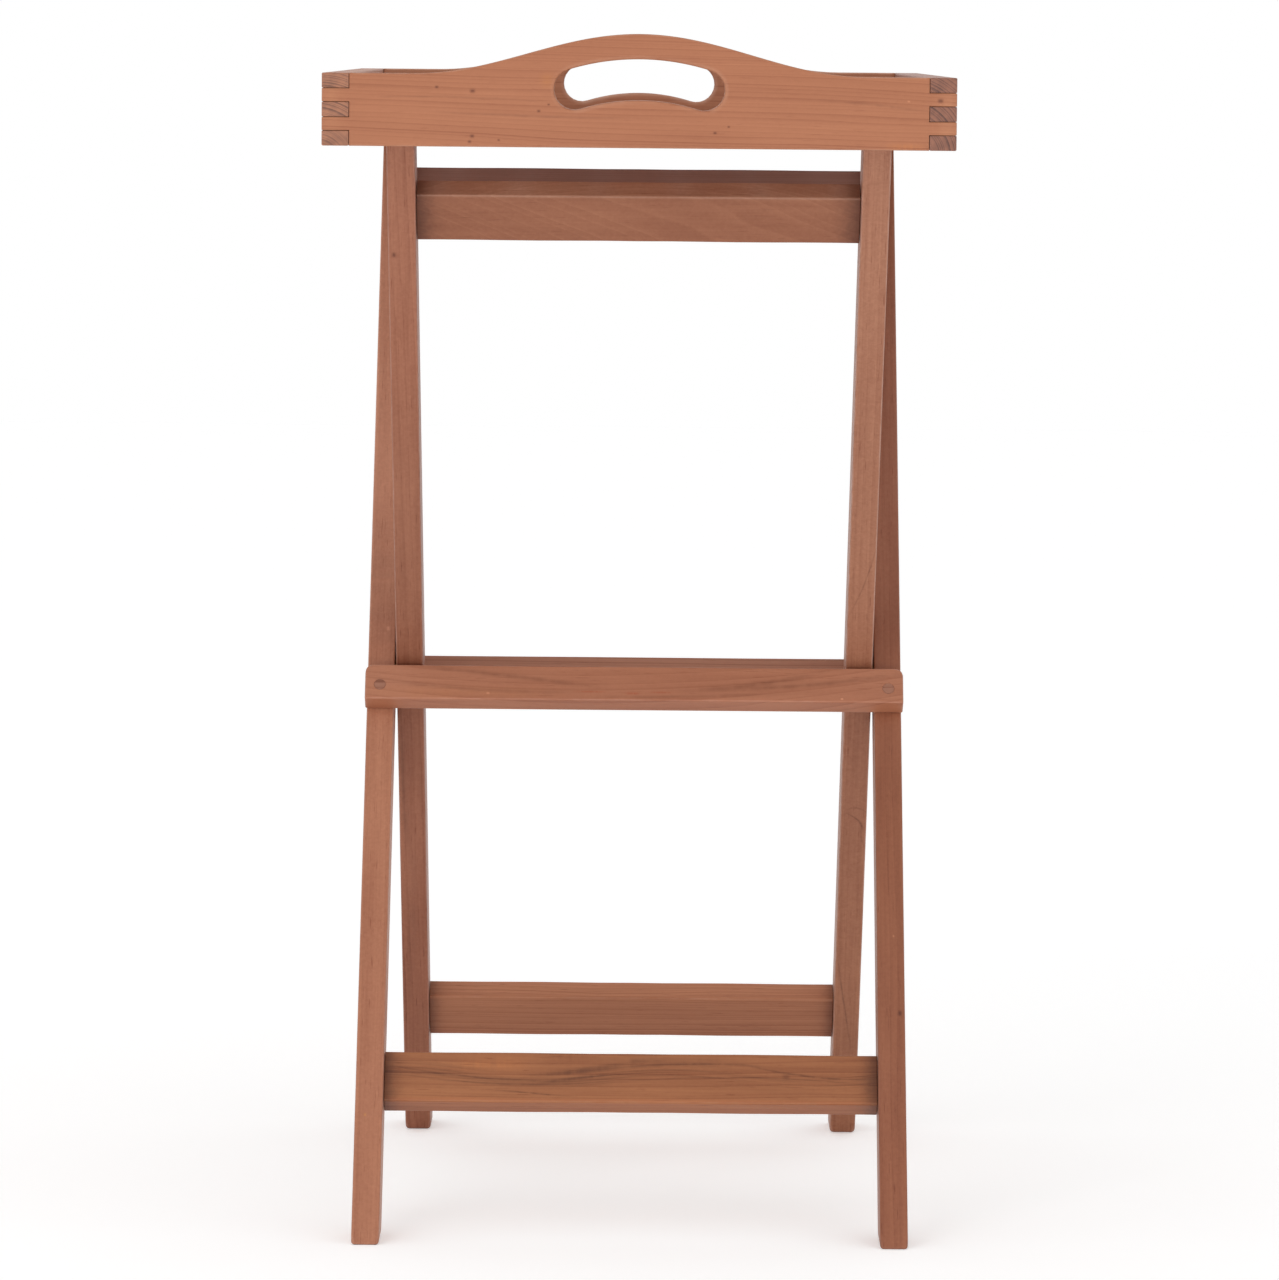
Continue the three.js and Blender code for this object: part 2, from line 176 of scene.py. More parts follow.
# An arris that is eased less than this is a tight joint, and beside any arris a flat is left
TIGHT = 0.3
FLAT = 1.5

# Slow waves of an arris's easing, as (share of it, radians per millimetre)
ARRIS_WAVES = ((0.08, 0.031), (0.05, 0.083))

# The slow wave of a rail's faces, as (depth, radians along half the rail), and where it is drawn
RAIL_WAVE = (0.12, 9)
RAIL_STATIONS = (0.1, 0.25, 0.4, 0.55, 0.7, 0.85)

# A plug's end: its play in the well, its dome as (radius, drop), and its edge
PLUG_PLAY = 0.04
PLUG_DOME = ((0.5, 0), (2, 0.01), (3.4, 0.04))
PLUG_EDGE, PLUG_EDGE_DROP, PLUG_EASE = 0.2, 0.08, 0.3

# How finely the shapes are drawn
EASE_STEPS = 4
CORNER_STEPS, STOP_CORNER_STEPS = 4, 6
STRETCH, BATTEN_STRETCH = 60, 70
HUMP_POINTS = 61
ARC_POINTS, ARC_END_POINTS = 25, 13
SIDE_TOP = np.linspace(240, -240, 9)
ROUND_POINTS, BATTEN_HOLE_POINTS, SLAT_HOLE_POINTS = 40, 24, 16

# Distance in metres within which two points of a mesh are one, and the angle of a sharp edge
WELD = 2e-6
SHARP = math.radians(40)

SIDES = (("left", -1), ("right", 1))
ENDS = (("near", -1), ("far", 1))
SLOPES = {"outer": 1, "inner": -1}


# Camera, placed by the vanishing lines of the tray and of the stand: lens and sensor in
# millimetres, places in metres, angles in degrees
SENSOR, LENS = 36, 185.77
CAMERA_PLACE = (-0.0019, -4.571, 0.7973)
PITCH, TURN, ROLL = 5.21, -0.067, 0.5
FARTHEST = 100


def placed(name, data):
    made = bpy.data.objects.new(name, data)
    bpy.context.collection.objects.link(made)
    return made


def place_camera():
    data = bpy.data.cameras.new("camera")
    data.sensor_fit = "HORIZONTAL"
    data.sensor_width = SENSOR
    data.lens = LENS
    data.clip_end = FARTHEST
    camera = placed("camera", data)
    pitch, turn, roll = (math.radians(angle) for angle in (PITCH, TURN, ROLL))
    camera.matrix_world = (
        Matrix.Translation(CAMERA_PLACE) @ Matrix.Rotation(turn, 4, "Z")
        @ Matrix.Rotation(math.pi / 2 - pitch, 4, "X") @ Matrix.Rotation(roll, 4, "Z"))
    bpy.context.scene.camera = camera


place_camera()


# Outlines, in millimetres, anticlockwise

class Outline:
    """Closed outline of corners, some of them rounded. Drawn in by an inset, each edge shifts
    inwards: a corner moves by its two edges' inward normals added, over one plus their product. A
    rounded corner is a parabola between two points at the radius from it, which shrinks as it is
    drawn in by the inset times the tangent of half the turn. Every inset gives as many points."""

    def __init__(self, corners, radius=0, steps=CORNER_STEPS):
        self.corners = np.asarray(corners, float)
        self.radius = np.broadcast_to(np.asarray(radius, float), len(self.corners))
        before = self.corners - np.roll(self.corners, 1, axis=0)
        after = np.roll(self.corners, -1, axis=0) - self.corners
        first, second = (np.column_stack([-step[:, 1], step[:, 0]]) / np.hypot(*step.T)[:, None]
                         for step in (before, after))
        product = (first * second).sum(axis=1)
        cross = first[:, 0] * second[:, 1] - first[:, 1] * second[:, 0]
        self.mitre = (first + second) / (1 + product)[:, None]
        self.half_turn = cross / (1 + product)
        self.share = np.linspace(0, 1, steps + 1)[None, :, None]
        self.kept = (self.radius[:, None] > 0) | (np.arange(steps + 1)[None] == 0)
        self.corner = np.nonzero(self.kept)[0]

    def at(self, inset=0.0):
        inset = np.broadcast_to(inset, len(self.corners))
        corners = self.corners + inset[:, None] * self.mitre
        reach = np.maximum(self.radius - inset * self.half_turn, 0) * (self.radius > 0)
        before = np.roll(corners, 1, axis=0) - corners
        after = np.roll(corners, -1, axis=0) - corners
        start = corners + before / np.hypot(*before.T)[:, None] * reach[:, None]
        end = corners + after / np.hypot(*after.T)[:, None] * reach[:, None]
        share = self.share
        curve = ((1 - share) ** 2 * start[:, None] + 2 * share * (1 - share) * corners[:, None]
                 + share ** 2 * end[:, None])
        return curve[self.kept]


def shaped(rows, spacing=math.inf, steps=CORNER_STEPS):
    """An outline and its easing, from rows of (u, v, easing, corner radius). Every edge longer than
    the spacing gets extra points, evenly put. The easing runs evenly from one row to the next, and
    swells and thins along the arris by up to an eighth, as two slow sines."""
    rows = np.asarray(rows, float)
    step = np.roll(rows, -1, axis=0) - rows
    count = np.maximum(1, np.ceil(np.hypot(*step[:, :2].T) / spacing - 0.01).astype(int))
    first = np.repeat(np.cumsum(count) - count, count)
    share = (np.arange(count.sum()) - first) / np.repeat(count, count)
    full = np.repeat(rows, count, axis=0) + share[:, None] * np.repeat(step, count, axis=0)
    full[share > 0, 3] = 0
    u, v, ease, radius = full.T
    (swell, turn), (ripple, quick_turn) = ARRIS_WAVES
    ease = ease * (1 + swell * np.sin(turn * (u + v)) + ripple * np.sin(quick_turn * (u - v) + 1))
    return Outline(full[:, :2], radius, steps), ease


def flat_rows(corners, ease, radius=0):
    return [(u, v, ease, radius) for u, v in corners]


def mirrored(rows):
    return [(-u, v, ease, radius) for u, v, ease, radius in reversed(rows)]


def rectangle(half_u, half_v, middle=(0, 0)):
    corners = [[-half_u, -half_v], [half_u, -half_v], [half_u, half_v], [-half_u, half_v]]
    return np.array(corners) + middle


def circle(radius, middle, points):
    """Points at even angles, at the radius."""
    angle = np.linspace(0, 2 * np.pi, points, endpoint=False)
    return radius * np.column_stack([np.cos(angle), np.sin(angle)]) + middle


# Walls: rows of points, as (row, place round the outline, coordinate), and the wear and light at each
# point, a mask for real wear and for painted highlights

def row(points, height, wear_and_light=0):
    level = np.column_stack([points, np.full(len(points), height)])
    return level[None], np.zeros((1, len(points))) + wear_and_light


def rim(outline, ease, face, inwards, material=1):
    """Rows from the flat face over an eased arris on to the wall. The arris is a quarter circle:
    its inset is the ease times one minus the sine of the turn, and its drop the ease times one minus
    the cosine. Material is 1 inside the outline, and -1 where it lies outside, as at a hole. The
    wear and light is the sine of twice the turn: it places both real wear and a painted highlight on
    the arris. In a tight joint it is below nought, for grime."""
    ease = np.broadcast_to(ease, len(outline.corners))
    turn = np.linspace(0, np.pi / 2, EASE_STEPS + 1)[:, None]
    inset = np.vstack([ease + FLAT, ease * (1 - np.sin(turn)), 0 * ease])
    drop = np.vstack([0 * ease, ease * (1 - np.cos(turn)), ease + FLAT])[:, outline.corner]
    grime = -np.vstack([[[0]], 0.4 + 0.6 * np.sin(turn), [[1]]])
    wear_and_highlight = np.vstack([[[0]], np.sin(2 * turn), [[0]]])
    wear_and_light = np.where(ease < TIGHT, grime, wear_and_highlight)[:, outline.corner]
    flat = np.array([outline.at(material * each) for each in inset])
    return np.concatenate([flat, (face + inwards * drop)[..., None]], axis=2), wear_and_light


def joined(*walls):
    points, wear_and_light = zip(*walls)
    return np.concatenate(points), np.concatenate(wear_and_light)


def upside_down(wall):
    return wall[0][::-1], wall[1][::-1]


def eased_wall(outline, ease, low, high, material=1):
    return joined(rim(outline, ease, low, 1, material),
                  upside_down(rim(outline, ease, high, -1, material)))


def turned(stages, middle=(0, 0), points=ROUND_POINTS):
    """A wall of circles: (radius, height) for each row."""
    return joined(*[row(circle(radius, middle, points), height) for radius, height in stages])


def pocket(corners, face, floor):
    """A pocket with plain edges, from the face that it opens on to its floor."""
    return joined(row(corners, face), row(corners, floor))


# Which way an outline's two coordinates and its height run
PLANES = {
    "YZ": np.array([[0, 0, 1], [1, 0, 0], [0, 1, 0]]),
    "XZ": np.array([[1, 0, 0], [0, 0, 1], [0, 1, 0]]),
    "XY": np.eye(3),
}

# Where pieces stand: each frame leans about the pivots, and the tray's near end and its left side
# are made as the far end and the right side are, then turned round
HERE = Matrix.Identity(4)
TILT = Matrix.Translation((0, 0, PIVOT_HEIGHT * MM)) @ Matrix.Rotation(-LEAN, 4, "X")
FRAME_PLACE = {"outer": TILT, "inner": Matrix.Scale(-1, 4, (0, 1, 0)) @ TILT}
TRAY_PLACE = Matrix.Translation((0, 0, TRAY_BOTTOM * MM))
TRAY_TURNED = TRAY_PLACE @ Matrix.Rotation(math.pi, 4, "Z")


def cap(rings, points):
    """Flat face between an outline and its holes, as triangles, or one face if it is whole."""
    if len(rings) == 1:
        return [rings[0].tolist()]
    flat = [np.column_stack([points[ring, :2], np.zeros(len(ring))]).tolist() for ring in rings]
    return np.concatenate(rings)[np.array(tessellate_polygon(flat))].tolist()


def board(name, wall, plane, place=HERE, holes=()):
    """One closed piece. Its wall is a grid of rows closed round the outline, and so is each hole:
    (rows, the face it opens on, where it ends), with low and high for the two faces. Quads join
    neighbouring rows, and flat caps close the faces and the floors of blind holes."""
    grids = [wall] + [rows for rows, _, _ in holes]
    starts = np.cumsum([0] + [wear_and_light.size for _, wear_and_light in grids])
    rings = [start + np.arange(wear_and_light.size).reshape(wear_and_light.shape)
             for start, (_, wear_and_light) in zip(starts, grids)]
    points = np.concatenate([rows.reshape(-1, 3) for rows, _ in grids])
    wear_and_light = np.concatenate([wear_and_light.ravel() for _, wear_and_light in grids])
    quads = [np.stack([ring[:-1], np.roll(ring[:-1], -1, 1), np.roll(ring[1:], -1, 1), ring[1:]],
                      -1) for ring in rings]
    faces = np.concatenate([quad.reshape(-1, 4) for quad in quads]).tolist()
    flats = {"low": [rings[0][0]], "high": [rings[0][-1]]}
    for ring, (_, opening, end) in zip(rings[1:], holes):
        flats[opening].append(ring[0])
        flats.setdefault(end if end != "floor" else f"floor {ring[0, 0]}", []).append(ring[-1])
    for loops in flats.values():
        faces += cap(loops, points)
    local = points @ PLANES[plane].T * MM
    world = local @ np.array(place.to_3x3()).T + np.array(place.translation)
    return closed_mesh(name, world, faces, wear_and_light)


def closed_mesh(name, points, faces, wear_and_light):
    """The piece's mesh, with doubled points merged, normals outwards and its own shading."""
    mesh = bpy.data.meshes.new(name)
    mesh.from_pydata(points.tolist(), [], faces)
    mesh.attributes.new("wear_and_light", "FLOAT", "POINT").data.foreach_set("value", wear_and_light.astype(np.float32))
    shell = bmesh.new()
    shell.from_mesh(mesh)
    bmesh.ops.remove_doubles(shell, verts=shell.verts, dist=WELD)
    bmesh.ops.recalc_face_normals(shell, faces=shell.faces)
    shell.to_mesh(mesh)
    shell.free()
    mesh.shade_smooth()
    mesh.set_sharp_from_angle(angle=SHARP)
    piece = placed(name, mesh)
    piece.modifiers.new("flat faces", "WEIGHTED_NORMAL").keep_sharp = True
    return piece


record = frame["record"]
BODY_OF = {node: body for body, nodes in record["behaviour"]["bodies"].items() for node in nodes}


# Shader nodes

class Nodes:
    """Adds nodes to a tree. An input is a value, or another node's socket to link."""

    def __init__(self, tree):
        self.tree = tree

    def fill(self, made, inputs):
        for key, value in inputs.items():
            if isinstance(value, bpy.types.NodeSocket):
                self.tree.links.new(value, made.inputs[key])
            else:
                made.inputs[key].default_value = value
        return made.outputs

    def add(self, kind, inputs, **settings):
        made = self.tree.nodes.new("ShaderNode" + kind)
        for key, value in settings.items():
            setattr(made, key, value)
        return self.fill(made, inputs)

    def group(self, tree, inputs):
        made = self.tree.nodes.new("ShaderNodeGroup")
        made.node_tree = tree
        return self.fill(made, inputs)

    def maths(self, operation, *values):
        return self.add("Math", dict(enumerate(values)), operation=operation)[0]

    plus = partialmethod(maths, "ADD")
    minus = partialmethod(maths, "SUBTRACT")
    over = partialmethod(maths, "DIVIDE")
    power = partialmethod(maths, "POWER")
    greater = partialmethod(maths, "MAXIMUM")
    size = partialmethod(maths, "ABSOLUTE")
    times_plus = partialmethod(maths, "MULTIPLY_ADD")

    def times(self, *values):
        return reduce(partial(self.maths, "MULTIPLY"), values)

    def bell(self, distance):
        """The exponential of minus the distance squared."""
        return self.maths("EXPONENT", self.times(self.power(distance, 2), -1))

    def vector(self, operation, first, second):
        return self.add("VectorMath", {0: first, 1: second}, operation=operation)[0]

    def scaled(self, first, factor):
        return self.add("VectorMath", {0: first, "Scale": factor}, operation="SCALE")[0]

    def split(self, place):
        return self.add("SeparateXYZ", {0: place})

    def mixed(self, factor, first, second, blend="MIX"):
        inputs = {0: factor, 6: first, 7: second}
        return self.add("Mix", inputs, data_type="RGBA", blend_type=blend)[2]

    def eased(self, value, start, end, **limits):
        inputs = {"Value": value, "From Min": start, "From Max": end, **limits}
        return self.add("MapRange", inputs, interpolation_type="SMOOTHSTEP")[0]

    def clamped(self, value):
        return self.add("Clamp", {"Value": value})[0]

    def ramp(self, factor, *stops):
        """Grey ramp through stops of (place, brightness)."""
        made = self.tree.nodes.new("ShaderNodeValToRGB")
        elements = made.color_ramp.elements
        while len(elements) < len(stops):
            elements.new(0.5)
        for element, (place, value) in zip(elements, stops):
            element.position = place
            element.color = (value, value, value, 1)
        return self.fill(made, {"Fac": factor})[0]

    def noise(self, place, scale, detail, rough=0.5):
        inputs = {"Vector": place, "Scale": scale, "Detail": detail, "Roughness": rough}
        return self.add("TexNoise", inputs)[0]

    def seeded_noise(self, place, seed, scale, detail, rough, curl=0):
        """A noise of four dimensions, the fourth being the seed: no two boards are alike."""
        inputs = {"Vector": place, "Scale": scale, "Detail": detail, "Roughness": rough, "W": seed,
                  "Distortion": curl}
        return self.add("TexNoise", inputs, noise_dimensions="4D")

    def line_noise(self, place, scale, detail):
        inputs = {"W": place, "Scale": scale, "Detail": detail}
        return self.add("TexNoise", inputs, noise_dimensions="1D")[0]

    def surface(self, kind, shader):
        output = self.tree.nodes.new(kind)
        self.tree.links.new(shader[0], output.inputs["Surface"])


# An input that every material sets starts with one of these
NUMBER, PLACE, COLOUR = 0, (0, 0, 0), (1, 1, 1, 1)
KIND_OF_SIZE = {1: "Float", 3: "Vector", 4: "Color"}


class Group(Nodes):
    """A node group. An input's kind follows from the value that it starts with."""

    def __init__(self, name, inputs, outputs=("Color",)):
        super().__init__(bpy.data.node_groups.new(name, "ShaderNodeTree"))
        for label, value in inputs.items():
            self.socket(label, "INPUT", KIND_OF_SIZE[np.size(value)]).default_value = value
        for label in outputs:
            self.socket(label, "OUTPUT", "Color" if label == "Color" else "Float")
        self.given = self.tree.nodes.new("NodeGroupInput").outputs
        self.out = self.tree.nodes.new("NodeGroupOutput").inputs

    def socket(self, label, way, kind):
        return self.tree.interface.new_socket(label, in_out=way, socket_type="NodeSocket" + kind)

    def put(self, **results):
        for label, result in results.items():
            self.tree.links.new(result, self.out[label])
        return self.tree

    def tinted(self, mask, tint, colour):
        """The colour, multiplied by the tint as far as the mask says."""
        full = self.mixed(1.0, colour, self.given[tint], "MULTIPLY")
        return self.mixed(mask, colour, full)

    def put_tinted(self, mask, tint):
        """Puts out the group's colour, tinted as far as the mask times its amount says."""
        mask = self.times(mask, self.given["Amount"])
        return self.put(Color=self.tinted(mask, tint, self.given["Color"]))


def grain_group():
    """Teak as a solid, with rings about a pith that runs beside the piece, bent slowly along it.

    The distance from the pith is warped by a noise eight times longer along the grain than across,
    shifted by a drift times the way along the grain and by a bow times the square of the way from
    the bow's middle, and divided by the ring width. Each ring darkens slowly and ends in a thin dark
    line. Fibres and pores are noises stretched along the grain, mottle is nearly even, and curl is
    twisted about itself."""
    n = Group("teak grain", {
        **dict.fromkeys(("Vector", "Pith", "Drift", "Bow"), PLACE),
        **dict.fromkeys(("Bow Middle", "Ring Width", "Wander", "Seed", "Figure", "Fibre", "Cloud",
                         "Mottle", "Curl", "Bias"), NUMBER),
        "Pale": COLOUR, "Dark": COLOUR}, ("Color", "Tone", "Ring", "Height"))
    given = n.given

    def noise(across, along, seed, **noise):
        place = n.vector("MULTIPLY", given["Vector"], (across, across, along))
        return n.seeded_noise(place, n.plus(given["Seed"], seed), **noise)

    def ring_noise(seed, scale, detail):
        return n.line_noise(n.plus(years, n.plus(given["Seed"], seed)), scale, detail)

    bend = noise(1, 0.13, 0, scale=22, detail=2, rough=0.45)["Color"]
    warp = n.scaled(n.vector("SUBTRACT", bend, (0.5, 0.5, 0.5)), given["Wander"])
    along = n.split(given["Vector"])["Z"]
    bowed = n.power(n.minus(along, given["Bow Middle"]), 2)
    moved = n.vector("ADD", given["Vector"], warp)
    moved = n.vector("ADD", moved, n.scaled(given["Drift"], along))
    moved = n.vector("SUBTRACT", moved, n.scaled(given["Bow"], bowed))
    moved = n.vector("SUBTRACT", moved, given["Pith"])
    moved = n.vector("MULTIPLY", moved, (1, 1, 0))
    radius = n.add("VectorMath", {0: moved}, operation="LENGTH")["Value"]
    years = n.over(radius, given["Ring Width"])
    years = n.times_plus(ring_noise(3.7, 0.45, 1), 2.2, years)
    season = n.maths("FRACT", years)
    ring = n.ramp(season, (0, 0), (0.1, 0.06), (0.6, 0.24), (0.86, 0.7), (0.94, 1), (1, 0.1))
    strength = n.power(ring_noise(9.1, 0.31, 1), 1.5)
    late_wood = n.times(ring, n.times(strength, 2.4))
    band = n.minus(ring_noise(5.3, 0.17, 2), 0.5)
    fine = noise(1, 0.022, 1.1, scale=700, detail=3, rough=0.6)[0]
    coarse = noise(1, 0.035, 2.3, scale=210, detail=2, rough=0.5)[0]
    pores = n.ramp(noise(1, 0.045, 6.1, scale=1500, detail=1, rough=0.4)[0], (0.66, 0), (0.74, 1))
    cloud = noise(1, 0.22, 7.9, scale=34, detail=3, rough=0.55)[0]
    mottle = noise(1, 0.7, 8.2, scale=480, detail=2, rough=0.6)[0]
    curl = noise(0.75, 1, 4.4, scale=260, detail=2, rough=0.5, curl=1.6)[0]

    tone = n.times_plus(late_wood, given["Figure"], given["Bias"])
    tone = n.times_plus(band, given["Figure"], tone)
    for value, weight in ((fine, "Fibre"), (coarse, "Fibre"), (cloud, "Cloud"), (mottle, "Mottle"),
                          (curl, "Curl")):
        tone = n.times_plus(n.minus(value, 0.5), given[weight], tone)
    tone = n.clamped(n.times_plus(pores, given["Fibre"], tone))
    return n.put(Color=n.mixed(tone, given["Pale"], given["Dark"]), Tone=tone, Ring=ring,
                 Height=n.minus(fine, pores))


def streak_group():
    """A bundle of dark mineral streaks about a line that waves along the grain. The line's height
    is a level plus a swing times the cosine of a full turn per wavelength, and the bundle fades from
    it as the exponential of minus the square of the distance over the spread."""
    n = Group("dark streaks", {
        "Color": COLOUR, "Vector": PLACE, "Level": NUMBER, "Swing": NUMBER, "Wavelength": NUMBER,
        "Start": NUMBER, "Spread": NUMBER, "Seed": NUMBER, "Amount": NUMBER,
        "Streak": (0.35, 0.28, 0.24, 1)})
    given = n.given
    across, _, along = n.split(given["Vector"])
    turns = n.over(n.minus(along, given["Start"]), given["Wavelength"])
    wave = n.maths("COSINE", n.times(turns, 2 * math.pi))
    apart = n.minus(across, n.times_plus(wave, given["Swing"], given["Level"]))
    long_way = n.vector("MULTIPLY", given["Vector"], (1, 1, 0.12))
    bend = n.seeded_noise(long_way, given["Seed"], scale=30, detail=2, rough=0.5)[0]
    apart = n.times_plus(n.minus(bend, 0.5), 0.008, apart)
    fade = n.bell(n.size(n.over(apart, given["Spread"])))
    threads = n.add("CombineXYZ", {0: apart, 2: n.times(along, 0.012)})[0]
    threads = n.seeded_noise(threads, n.plus(given["Seed"], 3), scale=520, detail=2, rough=0.55)[0]
    patches = n.seeded_noise(long_way, n.plus(given["Seed"], 7), scale=85, detail=1, rough=0.5)[0]
    return n.put_tinted(n.times(fade, n.ramp(threads, (0.42, 0), (0.62, 1)),
                                n.ramp(patches, (0.36, 0.1), (0.6, 1))), "Streak")


def painted_face_light_group():
    """Painted light on one face of a board: beyond a level of its width the colour turns to a tint,
    as a smooth step over the softness to each side of it, at a border bent by a noise. It lightens a
    rail's face that looks down to the floor or up, standing in for the light that falls there."""
    n = Group("sapwood", {
        "Color": COLOUR, "Vector": PLACE, "Level": NUMBER, "Softness": NUMBER, "Seed": NUMBER,
        "Amount": 1, "Tint": COLOUR})
    given = n.given
    across = n.split(given["Vector"])["X"]
    long_way = n.vector("MULTIPLY", given["Vector"], (1, 1, 0.15))
    bend = n.seeded_noise(long_way, given["Seed"], scale=40, detail=2, rough=0.5)[0]
    beyond = n.over(n.minus(given["Level"], across), given["Softness"])
    beyond = n.times_plus(n.minus(bend, 0.5), 1.6, beyond)
    return n.put_tinted(n.eased(beyond, -1, 1), "Tint")


def mark_group():
    """A mark of growth or of use, a painted highlight or a stretch of painted shade: a dark line, a
    speck, a crack, a paler patch or a darker wash. It follows a parabola along the grain: its level,
    plus its slope times the way from its middle, plus its curve times that way squared. Across, it
    fades as the exponential of minus the square of the distance over its width, its ends fade where
    the way nears its reach, and breaks thin it out."""
    n = Group("growth mark", {
        "Color": COLOUR, "Along": NUMBER, "Across": NUMBER, "Middle": NUMBER, "Level": NUMBER,
        "Slope": NUMBER, "Curve": NUMBER, "Reach": NUMBER, "Width": NUMBER, "Amount": NUMBER,
        "Breaks": 0.6, "Waver": 0.02, "Tint": (0.42, 0.35, 0.32, 1)})
    given = n.given

    def unevenness(waves):
        return n.line_noise(given["Along"], n.over(waves, given["Reach"]), 2)

    way = n.minus(given["Along"], given["Middle"])
    path = n.times_plus(way, given["Curve"], given["Slope"])
    path = n.times_plus(way, path, given["Level"])
    waver = n.times(n.minus(unevenness(2.5), 0.5), n.times(given["Reach"], given["Waver"]))
    apart = n.plus(n.minus(given["Across"], path), waver)
    mask = n.bell(n.size(n.over(apart, given["Width"])))
    share = n.over(n.size(way), given["Reach"])
    ends = n.eased(share, 0.15, 1.2, **{"To Min": 1, "To Max": 0})
    gaps = n.times(n.ramp(unevenness(5), (0.3, 1), (0.6, 0)), given["Breaks"])
    return n.put_tinted(n.times(mask, ends, n.minus(1, gaps)), "Tint")


def joint_group():
    """Darker towards the corner where a rail enters a leg: it darkens over a few millimetres up to
    the shoulder, with a ragged edge, as the exponential of minus the square of the distance over the
    width."""
    n = Group("joint stain", {
        "Color": COLOUR, "Vector": PLACE, "Shoulder": NUMBER, "Width": 0.009, "Seed": NUMBER,
        "Amount": NUMBER, "Dark Tint": (0.42, 0.38, 0.38, 1)})
    given = n.given
    along = n.split(given["Vector"])["Z"]
    ragged = n.seeded_noise(given["Vector"], given["Seed"], scale=160, detail=3, rough=0.6)[0]
    reach = n.over(n.minus(given["Shoulder"], n.size(along)), given["Width"])
    reach = n.times_plus(n.minus(ragged, 0.5), 1.1, reach)
    return n.put_tinted(n.bell(n.greater(reach, 0)), "Dark Tint")


def pin_knot_group():
    """Pin knots and oil specks: small dark spots about a few cells of a scattered pattern."""
    n = Group("pin knots", {
        "Color": COLOUR, "Vector": PLACE, "Amount": NUMBER, "Seed": NUMBER,
        "Spot": (0.3, 0.22, 0.2, 1)})
    long_way = n.vector("MULTIPLY", n.given["Vector"], (1, 1, 0.55))
    cells = n.add("TexVoronoi", {"Vector": long_way, "Scale": 70, "W": n.given["Seed"]},
                  voronoi_dimensions="4D")
    chosen = n.ramp(n.add("SeparateColor", {0: cells["Color"]})[0], (0.86, 0), (0.9, 1))
    return n.put_tinted(n.times(n.ramp(cells["Distance"], (0.05, 1), (0.11, 0)), chosen), "Spot")


def end_grain_group():
    """End grain drinks more oil. Where the face looks along the grain, the rings show strongly,
    from an early wood that stays pale to a late wood that goes dark and greyish."""
    n = Group("end grain", {
        "Color": COLOUR, "Normal": PLACE, "Grain Axis": PLACE, "Vector": PLACE, "Ring": NUMBER,
        "Early": COLOUR, "Late": COLOUR}, ("Color", "Mask"))
    given = n.given
    inputs = {0: given["Normal"], 1: given["Grain Axis"]}
    facing = n.size(n.add("VectorMath", inputs, operation="DOT_PRODUCT")["Value"])
    mask = n.ramp(facing, (0.6, 0), (0.85, 1))
    uneven = n.seeded_noise(given["Vector"], 2.0, scale=130, detail=2, rough=0.6)[0]
    ring = n.clamped(n.times_plus(n.minus(uneven, 0.5), 1.3, given["Ring"]))
    rings = n.mixed(ring, given["Early"], given["Late"])
    return n.put(Color=n.mixed(mask, given["Color"], rings), Mask=mask)


def arris_group():
    """Handled arrises and grimy joints: paler and greyer where the wear and light is above nought,
    partly real wear and partly a painted highlight where the eased edges catch the light, broken up
    by a noise along them, and dark with old oil, raggedly, where it is below."""
    n = Group("arris wear", {
        "Color": COLOUR, "Vector": PLACE, "Wear And Light": NUMBER, "Amount": NUMBER, "Grime Amount": NUMBER,
        "Wear And Highlight": COLOUR, "Grime": (0.34, 0.3, 0.3, 1)})
    given = n.given
    patchy = n.ramp(n.noise(given["Vector"], 60, 3, 0.6), (0.35, 0.15), (0.65, 1))
    worn_and_lit = n.times(n.greater(given["Wear And Light"], 0), given["Amount"], patchy)
    wear_and_highlight = n.mixed(worn_and_lit, given["Color"], given["Wear And Highlight"])
    ragged = n.ramp(n.noise(given["Vector"], 240, 2), (0.4, 0.3), (0.58, 1))
    grimy = n.times(n.greater(n.times(given["Wear And Light"], -1), 0), given["Grime Amount"], ragged)
    return n.put(Color=n.tinted(grimy, "Grime", wear_and_highlight))


GRAIN = grain_group()
DARK_STREAKS = streak_group()
PAINTED_FACE_LIGHT = painted_face_light_group()
MARK_AND_PAINTED_LIGHT = mark_group()
JOINT_DARKENING = joint_group()
PIN_KNOTS = pin_knot_group()
END_GRAIN = end_grain_group()
ARRIS_WEAR_AND_HIGHLIGHT = arris_group()


# Finishes

def linear(*srgb):
    """A display colour of 0 to 255 as the shader's linear colour."""
    share = np.array(srgb) / 255
    curve = ((share + 0.055) / 1.055) ** 2.4
    return tuple(np.where(share < 0.04045, share / 12.92, curve).tolist())


def blank(owner):
    """A material or a world with an empty node tree, and that tree's nodes."""
    owner.use_nodes = True
    owner.node_tree.nodes.clear()
    return owner, Nodes(owner.node_tree)


def shaded(colour, *shares):
    return tuple(min(value * share, 1) for value, share in zip(colour, shares)) + (1,)


# Shares of a board's base colour, as red, green and blue
PALE, DARK = (1.16, 1.22, 1.25), (0.6, 0.45, 0.38)
EARLY, LATE = (0.95, 1.0, 1.05), (0.3, 0.34, 0.45)
# Arrises paler and greyer: partly real wear, partly a painted highlight where eased edges catch the
# light
RUBBED_AND_HIGHLIGHT = (1.25, 1.62, 2.15)

# Teak's gloss: its roughness, and how much its tone and its end grain add
ROUGHNESS, ROUGHER = 0.43, 0.12


